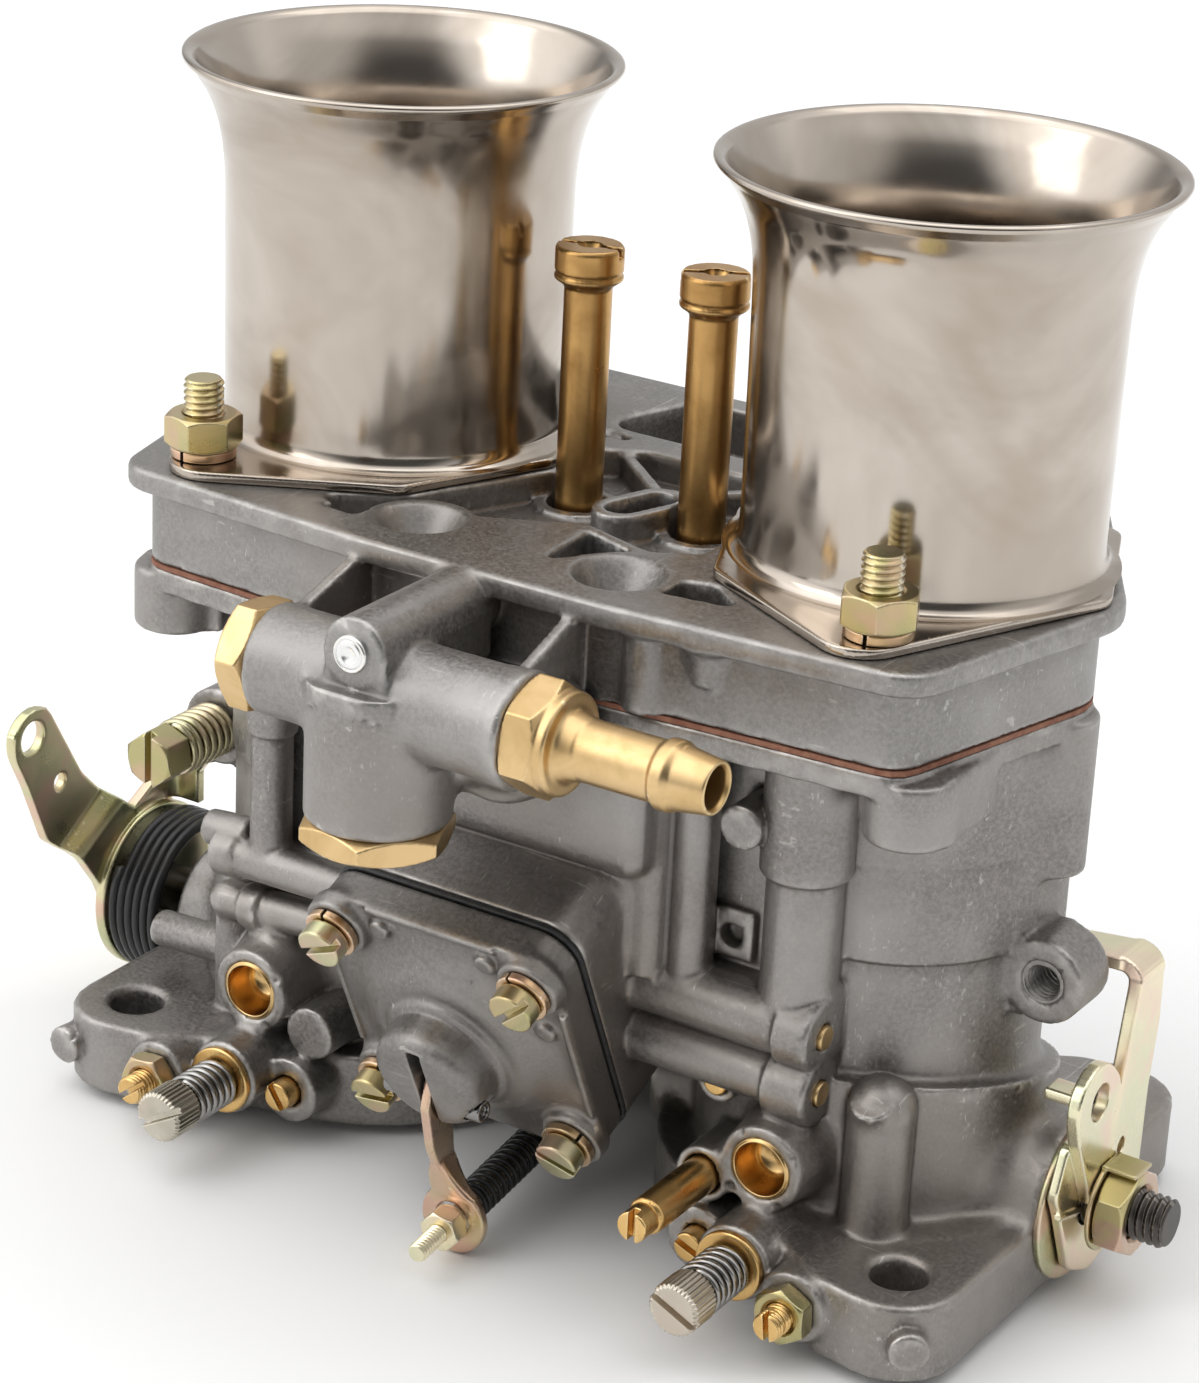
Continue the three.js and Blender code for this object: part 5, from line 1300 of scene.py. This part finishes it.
# ---- brass cups and small plugs pressed into the body ----
cup_profile = smooth_profile([(4.62, 6.6), (4.0, 6.6), (3.95, 3.2), (3.4, 1.4), (2.0, 0.6), (0.02, 0.4)], 8)
cup = spun(cup_profile + [(0.02, 0.1), (4.62, 0.1)], 72)
for side, s in SIDES:
    pressed = moved(cup, along((s * 45, -27.6, CUP_Z), (s * 45, -40, CUP_Z)))
    piece(f"core_cup_{side}", [pressed], COPPER, STATIC)
    slot = placed(box((-4, -0.5, 4.5), (4, 0.5, 8)), turned_by(0.9 + s * 0.3))
    screw = solid([bar((0, 0, 0), (0, 0, 6), 2.3, rounding=0.35)], 0.13, [slot])
    screw = moved(screw, along((s * 36.5, -32.6, 7.2), (s * 36.5, -45, 7.2)))
    piece(f"progression_plug_{side}", [screw], BRASS_Y, STATIC)
for k, z in enumerate(PASSAGE_PLUGS):
    stud_end = solid([bar((0, 0, 0), (0, 0, 3.2), 1.85, rounding=0.3)], 0.12)
    stud_end = moved(stud_end, along((47.9, -28.5, z), (60, -28.5, z)))
    piece(f"passage_plug_{k + 1}_right", [stud_end], BRASS_X, STATIC)
small = solid([bar((0, 0, 0), (0, 0, 4.4), 1.9, rounding=0.3)], 0.12)
piece("passage_plug_3_right", [moved(small, along((34.3, -25.4, 29.2), (34.3, -40, 29.2)))], BRASS_Y, STATIC)

# ---- pieces seen only when it is taken apart ----
PLAIN = {
    GASKET: ("cover_gasket",),
    BRASS_Z: ("fuel_filter", "needle_seat", "throttle_plate_left", "throttle_plate_right"),
    STEEL: ("inlet_needle", "float_pin", "pump_plunger"),
    PLASTIC: ("float",),
}
for node, material in ((node, material) for material, nodes in PLAIN.items() for node in nodes):
    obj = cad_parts[node]
    obj.data.materials.clear()
    obj.data.materials.append(material)

# ---- accelerator pump linkage ----
pin_dimple = bar((7.7, 0, 0), (9, 0, 0), 0.9, 1.2)
pin = solid([bar((-8.3, 0, 0), (8.3, 0, 0), 1.65, rounding=0.25)], 0.15, [pin_dimple])
piece("pump_lever_pin_body", [moved(pin, Matrix.Translation(PIVOT))], STEEL, STATIC, "pump_lever_pin")

rod_low = Vector((3, -57.6, 3.2))
rod_end = Vector((-2, 0, SHAFT_Z - 7))
rod_length = (rod_end - rod_low).length
rod_frame = along(rod_low, rod_end)
share = (-46.5 - rod_low.y) / (rod_end.y - rod_low.y)
EYE = np.array(rod_low + (rod_end - rod_low) * share)


def pump_lever():
    py, pz = PIVOT[1], PIVOT[2]
    made = Block((-5.5, py - 6, EYE[2] - 6.5), (7, py + 10, pz + 8), 0.2)
    blade = [
        (py - 3.2, pz - 1, 1.2), (py - 2, pz + 4, 1), (py + 5.6, pz + 7, 1), (py + 7.2, pz + 3.6, 1),
        (py + 3.0, pz - 2, 2), (py + 4.2, pz - 11, 1.5), (py + 3.4, pz - 13.4, 0.3),
        (py + 1.0, pz - 13.4, 0.3), (py - 1.6, pz - 8, 2),
    ]
    made.add(plate(blade, -0.78, 0.78, axis=0, rounding=0.3, holes=[(py, pz, 1.7)]))
    for k in range(13):
        t = k / 12
        z = pz - 11.6 - 5.2 * t
        half_y, half_x = 1.75 * (1 - t) + 0.72 * t, 0.85 * (1 - t) + 3.2 * t
        x, y = EYE[0] * t * t, (py + 2.4) * (1 - t) + EYE[1] * t
        made.add(placed(box((-half_x, -half_y, -0.5), (half_x, half_y, 0.5), 0.35), shift(x, y, z)), 1.0)
    made.add(box((EYE[0] - 3.6, EYE[1] - 0.75, EYE[2]), (EYE[0] + 3.6, EYE[1] + 0.75, pz - 16.2), 0.35), 0.5)
    made.add(bar((EYE[0], EYE[1] - 0.75, EYE[2]), (EYE[0], EYE[1] + 0.75, EYE[2]), 5.4, rounding=0.35), 0.6)
    made.cut(bar((EYE[0], EYE[1] - 3, EYE[2]), (EYE[0], EYE[1] + 3, EYE[2]), 2.8))
    return made.polygons()


piece("pump_lever_blade", [pump_lever()], ZINC_RED, "pump_lever", "pump_lever")
rod_shapes = [
    threaded(13.5, 1.55, 0.7, 0.32),
    (bar((0, 0, 13), (0, 0, rod_length - 2), 1.4), 0),
    (bar((0, 0, 38), (0, 0, 39.4), 3.1, rounding=0.3), 0),
]
rod = solid(rod_shapes, 0.12)
eye = solid([bar((-1.4, 0, 0), (1.4, 0, 0), 2.9, rounding=0.3)], 0.2, [bar((-3, 0, 0), (3, 0, 0), 1.7)])
eye = moved(eye, shift(*rod_end))
piece("pump_rod_stem", [moved(rod, rod_frame), eye], ZINC_PALE, "pump_rod", "pump_rod")
nut_shapes = [hexagon(3.2, 5.6, turn=0.2), bar((0, 0, 3.1), (0, 0, 4.0), 2.8, rounding=0.3)]
rod_nut = solid(nut_shapes, 0.14, [bar((0, 0, -1), (0, 0, 5), 1.4)])
rod_nut = moved(rod_nut, rod_frame @ np.array(shift(0, 0, 6.2)))
piece("pump_rod_nut_body", [rod_nut], ZINC_PALE, "pump_rod", "pump_rod_nut")
rod_dir = (rod_end - rod_low).normalized()
spring_from, spring_to = rod_low + rod_dir * 15.2, rod_low + rod_dir * 37.8
rod_spring = coil(spring_from, spring_to, 2.5, 0.42, 14.5)
piece("pump_rod_spring_wire", [rod_spring], BLACK, "pump_rod", "pump_rod_spring")

# ---- throttle shaft, levers and return spring ----
shaft_left, shaft_right = corner_low("throttle_shaft")[0], corner_high("throttle_shaft")[0]
slots = [
    box((s * BARREL_X - 19.9, -6, SHAFT_Z - 0.85), (s * BARREL_X + 19.9, 6, SHAFT_Z + 0.85))
    for s in (-1, 1)
]
arm_x = -2.0
shaft = solid(
    [
        (bar((shaft_left, 0, SHAFT_Z), (76, 0, SHAFT_Z), 4.0, rounding=0.4), 0),
        (bar((arm_x - 5.4, 0, SHAFT_Z), (arm_x - 1.9, 0, SHAFT_Z), 6.4, rounding=0.4), 0),
        (box((arm_x - 5.4, -2.6, SHAFT_Z - 7), (arm_x - 1.9, 2.6, SHAFT_Z), 0.4), 0.8),
        (bar((arm_x - 5.4, 0, SHAFT_Z - 7), (arm_x - 1.9, 0, SHAFT_Z - 7), 2.6, rounding=0.3), 0.4),
        (bar((arm_x - 3, 0, SHAFT_Z - 7), (arm_x + 2.4, 0, SHAFT_Z - 7), 1.55, rounding=0.2), 0),
    ],
    0.35,
    slots,
)
shaft_thread = solid([threaded(shaft_right - 75, 3.85, 1.25, 0.62)], 0.16, [])
shaft_thread = moved(shaft_thread, along((75, 0, SHAFT_Z), (76, 0, SHAFT_Z)))
piece("throttle_shaft_bar", [shaft, shaft_thread], OXIDE, "throttle", "throttle_shaft")


def joggle(y, z):
    """x of the lever's sheet: it steps outwards across a slanting pair of bends."""
    t = np.clip((z * 0.847 - y * 0.532 - 28.7) / 4.0, 0, 1)
    return -92.2 - 3.0 * t * t * (3 - 2 * t), -3.0 * 6 * t * (1 - t) / 4.0


def stop_tab():
    """The upright that meets the idle speed screw, bent off the lever's edge and running inwards."""
    strip = outline([
        (-4.5, 28.1, 0.8), (3.1, 32.2, 3), (7.7, 32.9, 3), (11.5, 35.6, 3), (18.0, 38.6, 1.0),
        (18.6, 50.8, 1.5),
        (26.0, 50.8, 1.5), (26.0, 41, 2), (18.5, 36.8, 1.5), (12.6, 34.4, 0.8), (11.1, 32.4, 0.8),
        (11.1, 26.9, 0), (2, 26.9, 0), (-4.5, 24, 0),
    ])

    def distance(x, y, z):
        straight = (y <= 3) & (x < -89.2)
        corner = (y > 3) & (x < -89.2)
        angle = np.arctan2(y - 3, -(x + 89.2))
        run = np.where(straight, y, np.where(corner, 3 + 3 * np.clip(angle, 0, 1.58), 7.71 + x + 89.2))
        off = np.where(
            straight, np.abs(x + 92.2),
            np.where(corner, np.abs(np.hypot(x + 89.2, y - 3) - 3), np.abs(y - 6)),
        )
        flat = flat_distance(strip, run + 0 * z, z + 0 * run)
        return outer_box(flat + 0.35, off - 1.0 + 0.35) - 0.35

    return Shape((-93.2, -5, 24), (-71, 7, 51), distance)


def throttle_lever():
    made = Block((-97, -32, -2), (-70, 15, 55), 0.24)
    arm = [
        (8, 6, 3), (9.5, 20, 5), (3.5, 29.5, 2), (-4.5, 28.1, 1.0), (-7.2, 30.4, 1.0), (-10.2, 33.0, 4),
        (-14, 36.8, 5), (-22.0, 50.4, 6),
        (-28.0, 54.0, 6), (-31.2, 46.0, 7), (-27.3, 38.4, 0), (-22.8, 27.6, 3), (-18.6, 24.4, 3),
        (-13.4, 17.3, 4), (-9, 8, 3),
    ]
    made.add(bent_plate(arm, joggle, 2.0, -97, -91, holes=[(-26.0, 46.7, 2.7), (-19.5, 37.0, 1.4)]))
    made.add(stop_tab(), 0.3)
    made.add(bar((-92, 0, SHAFT_Z), (-90, 0, SHAFT_Z), 14, rounding=0.45), 0.15)
    made.cut(bar((-99, 0, SHAFT_Z), (-80, 0, SHAFT_Z), 4.1))
    return made.polygons()


piece("throttle_lever_plate", [throttle_lever()], ZINC, "throttle", "throttle_lever")
spring_path = coil((-89.7, 0, SHAFT_Z), (-79.3, 0, SHAFT_Z), 13.1, 0.92, 5.4, dead=0.4, phase=1.0)
piece("return_spring_wire", [spring_path], BLACK, STATIC, "return_spring")
washer = solid(
    [bar((77.9, 0, SHAFT_Z), (78.9, 0, SHAFT_Z), 12.8, rounding=0.25)], 0.25,
    [bar((77, 0, SHAFT_Z), (80, 0, SHAFT_Z), 4.2)],
)
piece("stop_washer_disc", [washer], ZINC, "throttle", "stop_washer")


def stop_lever():
    made = Block((70, -15, -1), (84, 14.5, 51), 0.2)
    base = [
        (-9.4, 26.0, 2), (-12.4, 18.2, 2.5), (-10.4, 14.6, 2), (-5.4, 3.6, 4), (1.5, 0.4, 5), (8, 2.0, 5),
        (10.6, 8, 4), (9, 18, 2), (-2, 24, 2),
    ]
    made.add(plate(base, 79.2, 80.8, axis=0, rounding=0.35))
    made.add(bar((80.8, -11.6, 15.3), (80.8, -2, 12.6), 0.55), 0.5)
    lobe = [
        (-3.2, 12.6, 1.5), (-10.6, 26.8, 9), (-12.9, 33.2, 6.5), (-6.0, 40.2, 6.5), (1.2, 33.4, 5.5),
        (4.0, 26, 2), (4, 11.5, 1),
    ]
    made.add(plate(lobe, 80.7, 82.8, axis=0, rounding=0.4), 0.3)
    arm = [
        (0.5, 24, 0), (3.4, 38, 12), (5.8, 49.6, 0.8), (12.8, 49.6, 1.5), (13.4, 37, 8), (11.9, 27, 12),
        (11.6, 12.5, 3), (6, 8, 3), (0, 12, 0),
    ]
    made.add(plate(arm, 80.7, 82.8, axis=0, rounding=0.4), 0.3)
    made.cut(box((79.0, 4.8, 46.2), (84.2, 14.4, 51)))
    for k in range(9):
        angle = k / 8 * math.pi / 2
        x, z = 78.8 + 2.95 * math.cos(angle), 45.8 + 2.3 * math.sin(angle)
        made.add(
            placed(
                box((-1.05, 5.3, -0.6), (1.05, 13.0, 0.6), 0.35),
                shift(x, 0, z) @ Matrix.Rotation(-angle, 4, "Y"),
            ),
            0.3,
        )
    made.add(
        plate(
            [(79.4, 4.9, 0), (71, 4.0, 1.2), (71, 10.8, 1.2), (79.4, 12.8, 0)], 47.1, 49.15, axis=2,
            rounding=0.4,
        ),
        0.3,
    )
    made.add(box((75.4, -8.6, 31.2), (81.2, -4.2, 33.0), 0.5), 0.5)
    made.cut(bar((79, -4.9, 31.4), (84, -4.9, 31.4), 2.9))
    made.cut(bar((79, 4.0, 20.7), (84, 4.0, 20.7), 1.3))
    made.cut(bar((78, 0, SHAFT_Z), (84, 0, SHAFT_Z), 4.15))
    return made.polygons()


piece("stop_lever_plate", [stop_lever()], ZINC_PALE, "throttle", "stop_lever")
tab_shapes = [
    bar((83.0, 0, SHAFT_Z), (83.7, 0, SHAFT_Z), 7, rounding=0.2),
    (box((83.0, -2.6, SHAFT_Z + 4.5), (83.7, 2.8, SHAFT_Z + 7.1), 0.2), 0.3),
    (box((83.0, -2.6, SHAFT_Z + 6.4), (88.4, 2.8, SHAFT_Z + 7.1), 0.25), 0.3),
]
tab = solid(tab_shapes, 0.16, [bar((82, 0, SHAFT_Z), (85, 0, SHAFT_Z), 4.15)])
piece("lock_washer_tab", [tab], ZINC_NUT, "throttle", "lock_washer")
nut_end = corner_high("shaft_nut")[0]
nut_hex = placed(
    hexagon(nut_end - 83.85, 12.3, turn=math.pi / 2, rounding=0.2),
    along((83.85, 0, SHAFT_Z), (90, 0, SHAFT_Z)),
)
big_nut = solid(
    [nut_hex], 0.16,
    [
        bar((83, 0, SHAFT_Z), (90, 0, SHAFT_Z), 3.9),
        bar((nut_end - 0.8, 0, SHAFT_Z), (nut_end + 0.1, 0, SHAFT_Z), 3.9, 4.6),
    ],
)
RED_NUT = passivated("red_nut", 0.9, (0.56, 0.38, 0.25), (0.54, 0.32, 0.26), (0.50, 0.45, 0.18))
piece("shaft_nut_body", [big_nut], RED_NUT, "throttle", "shaft_nut")

# ---- adjusting screws ----
stop_y = corner_low("idle_speed_screw")[1]
stop_shapes = [
    placed(threaded(23.5, 2.6, 0.8, 0.35), shift(0, 0, 5.2)), hexagon(5.6, 8, (True, False), turn=0.35),
]
stop_screw = solid(stop_shapes, 0.16, [box((-6, -0.6, -1), (6, 0.6, 1.5))])
stop_screw = moved(stop_screw, along((-LUG_X, stop_y, LUG_Z), (-LUG_X, 0, LUG_Z)))
piece("idle_speed_screw_body", [stop_screw], ZINC_NUT, "idle_speed_screw", "idle_speed_screw")
stop_coil = coil((-LUG_X, stop_y + 5.8, LUG_Z), (-LUG_X, -7.1, LUG_Z), 3.9, 0.62, 6.5)
piece("idle_speed_spring_wire", [stop_coil], ZINC_NUT, STATIC, "idle_speed_spring")

for side, s in SIDES:
    x = s * BARREL_X
    to_body = along((x, -56.6, MIX_Z), (x, -40, MIX_Z))
    turn = 1.05 if s < 0 else 2.0
    cut = placed(box((-6, -0.55, -1), (6, 0.55, 1.3)), Matrix.Rotation(turn, 4, "Z"))
    stem = [bar((0, 0, 5.5), (0, 0, 26), 2.15, 2.1), bar((0, 0, 0), (0, 0, 0.7), 3.2, 3.9, rounding=0.1)]
    head = [(shape, 0) for shape in (knurled(5.9, 4.05, 34, 0.32), *stem)]
    screw = moved(solid(head, 0.13, [cut, ring((0, 0, 5.9), 2, 4.1, 0.3)]), to_body)
    name = f"mixture_screw_{side}"
    piece(f"{name}_body", [screw], SCREW_GREY, name, name)
    spring = coil((x, -50.6, MIX_Z), (x, MIX_FACE - 1.2, MIX_Z), 3.4, 0.5, 5.6, dead=0.5)
    piece(f"mixture_spring_{side}_wire", [spring], STEEL, STATIC, f"mixture_spring_{side}")
    disc = solid([bar((0, 0, 0), (0, 0, 1.1), 5.3, rounding=0.3)], 0.15, [bar((0, 0, -1), (0, 0, 2), 2.7)])
    disc = moved(disc, along((x, MIX_FACE - 1.15, MIX_Z), (x, 0, MIX_Z)))
    piece(f"mixture_washer_{side}", [disc], BRASS_Y, STATIC)

    cut = placed(box((-6, -0.42, -1), (6, 0.42, 1.9)), Matrix.Rotation(0.4 - 0.5 * s, 4, "Z"))
    bleed = solid([(threaded(15, 2.25, 0.7, 0.32), 0)], 0.12, [cut, ring((0, 0, 2.2), 2, 2.35, 0.5)])
    bleed = moved(bleed, along((s * BYPASS_X, -49.7, BYPASS_Z), (s * BYPASS_X, 0, BYPASS_Z)))
    name = f"bypass_screw_{side}"
    piece(f"{name}_body", [bleed], BRASS_Y, name, name)
    bore = [bar((0, 0, -1), (0, 0, 5), 2.3), bar((0, 0, -0.2), (0, 0, 0.5), 3.0, 2.3)]
    lock = solid([hexagon(3.2, 7.6, turn=0.2 + 0.3 * s)], 0.14, bore)
    lock = moved(lock, along((s * BYPASS_X, -46.4, BYPASS_Z), (s * BYPASS_X, 0, BYPASS_Z)))
    piece(f"bypass_locknut_{side}_body", [lock], ZINC_NUT, STATIC, f"bypass_locknut_{side}")

# ---- studio: pale floor, soft lights, cards that the bright plate mirrors ----
scene = bpy.context.scene
floor_mesh = bpy.data.meshes.new("floor")
FLOOR_Z = bounds_at_start[0][2]
floor_mesh.from_pydata(
    [(-4, -4, FLOOR_Z), (4, -4, FLOOR_Z), (4, 4, FLOOR_Z), (-4, 4, FLOOR_Z)], [], [(0, 1, 2, 3)],
)
floor = bpy.data.objects.new("floor", floor_mesh)
scene.collection.objects.link(floor)
paper = Nodes("studio_paper")
floor_mesh.materials.append(
    paper.finish(
        paper.mix(paper.grey(paper.noise(6, 2), 0, 1), (0.86, 0.86, 0.86), (0.89, 0.89, 0.89)), 0.75, 0.0,
    )
)

world = bpy.data.worlds.new("studio")
scene.world = world
world.use_nodes = True
tree = world.node_tree


def soft_room():
    """An even grey room with broad soft patches, so that bright plate mirrors no hard edges."""
    direction = tree.nodes.new("ShaderNodeTexCoord").outputs["Generated"]
    total = tree.nodes.new("ShaderNodeValue")
    total.outputs[0].default_value = ROOM_GREY
    total = total.outputs[0]
    for azimuth, elevation, inner, outer, amount in ROOM_PATCHES:
        a, e = math.radians(azimuth), math.radians(elevation)
        dot = tree.nodes.new("ShaderNodeVectorMath")
        dot.operation = "DOT_PRODUCT"
        dot.inputs[1].default_value = (math.sin(a) * math.cos(e), -math.cos(a) * math.cos(e), math.sin(e))
        tree.links.new(direction, dot.inputs[0])
        fade = tree.nodes.new("ShaderNodeMapRange")
        fade.interpolation_type = "SMOOTHERSTEP"
        tree.links.new(dot.outputs["Value"], fade.inputs["Value"])
        fade.inputs["From Min"].default_value = math.cos(math.radians(outer))
        fade.inputs["From Max"].default_value = math.cos(math.radians(inner))
        fade.inputs["To Max"].default_value = amount
        added = tree.nodes.new("ShaderNodeMath")
        added.operation = "ADD"
        tree.links.new(total, added.inputs[0])
        tree.links.new(fade.outputs["Result"], added.inputs[1])
        total = added.outputs[0]
    tree.links.new(total, tree.nodes["Background"].inputs["Color"])
    tree.nodes["Background"].inputs["Strength"].default_value = 1.0


# azimuth and elevation of each patch's middle, the angles where it is full and where it ends,
# and how much it adds
ROOM_GREY = 0.30
ROOM_PATCHES = (
    (-55, 35, 10, 60, 1.3),
    (105, 30, 8, 45, 0.45),
    (0, 88, 15, 60, 0.85),
    (180, 20, 20, 75, 0.4),
    (32, 15, 5, 45, -0.2),
    (70, -5, 2, 30, -0.08),
)
soft_room()


def lamp(name, at, target, size, power, colour=(1, 1, 1)):
    data = bpy.data.lights.new(name, "AREA")
    data.shape = "RECTANGLE"
    data.size, data.size_y = size
    data.energy = power
    data.color = colour
    made = bpy.data.objects.new(name, data)
    scene.collection.objects.link(made)
    made.location = at
    made.rotation_euler = (Vector(target) - Vector(at)).to_track_quat("-Z", "Y").to_euler()
    return made


def card(name, at, target, size, grey):
    """A dark card outside the picture, only for the plate and brass to mirror."""
    w, h = size[0] / 2, size[1] / 2
    mesh = bpy.data.meshes.new(name)
    mesh.from_pydata([(-w, -h, 0), (w, -h, 0), (w, h, 0), (-w, h, 0)], [], [(0, 1, 2, 3)])
    made = bpy.data.objects.new(name, mesh)
    scene.collection.objects.link(made)
    made.location = at
    made.rotation_euler = (Vector(target) - Vector(at)).to_track_quat("Z", "Y").to_euler()
    n = Nodes(name)
    mesh.materials.append(n.finish(grey, 0.9, 0.0))
    made.visible_camera = False
    made.visible_shadow = False
    made.visible_diffuse = False
    return made


TARGET = (0, ORIGIN[1] / MM, 0.08)
lamp("key", (-0.75, -0.95, 0.85), TARGET, (0.7, 0.7), 2.2)
lamp("top", (0.1, 0.1, 1.2), TARGET, (0.9, 0.9), 2.0)
card("card_front", (0.25, -0.95, 0.22), TARGET, (0.12, 0.35), (0.05, 0.035, 0.02))

# ---- camera ----
AZ, EL, ROLL = math.radians(31.833), math.radians(22.575), math.radians(2.75)
back = Vector((math.sin(AZ) * math.cos(EL), -math.cos(AZ) * math.cos(EL), math.sin(EL)))
level = Vector((math.cos(AZ), math.sin(AZ), 0))
upright = back.cross(level)
right = level * math.cos(ROLL) + upright * math.sin(ROLL)
up = upright * math.cos(ROLL) - level * math.sin(ROLL)
camera_data = bpy.data.cameras.new("camera")
camera = bpy.data.objects.new("camera", camera_data)
scene.collection.objects.link(camera)
camera.matrix_world = Matrix(
    (
        (right.x, up.x, back.x, 0.2747), (right.y, up.y, back.y, -0.4578 + ORIGIN[1] / MM),
        (right.z, up.z, back.z, 0.2905), (0, 0, 0, 1),
    )
)
camera_data.sensor_width = 36
camera_data.lens = 101.36
camera_data.shift_x = (1199 / 2 - 580.973) / 1383
camera_data.shift_y = (703.445 - 1383 / 2) / 1383
camera_data.clip_start, camera_data.clip_end = 0.01, 20
scene.camera = camera
scene.view_settings.view_transform = "Standard"
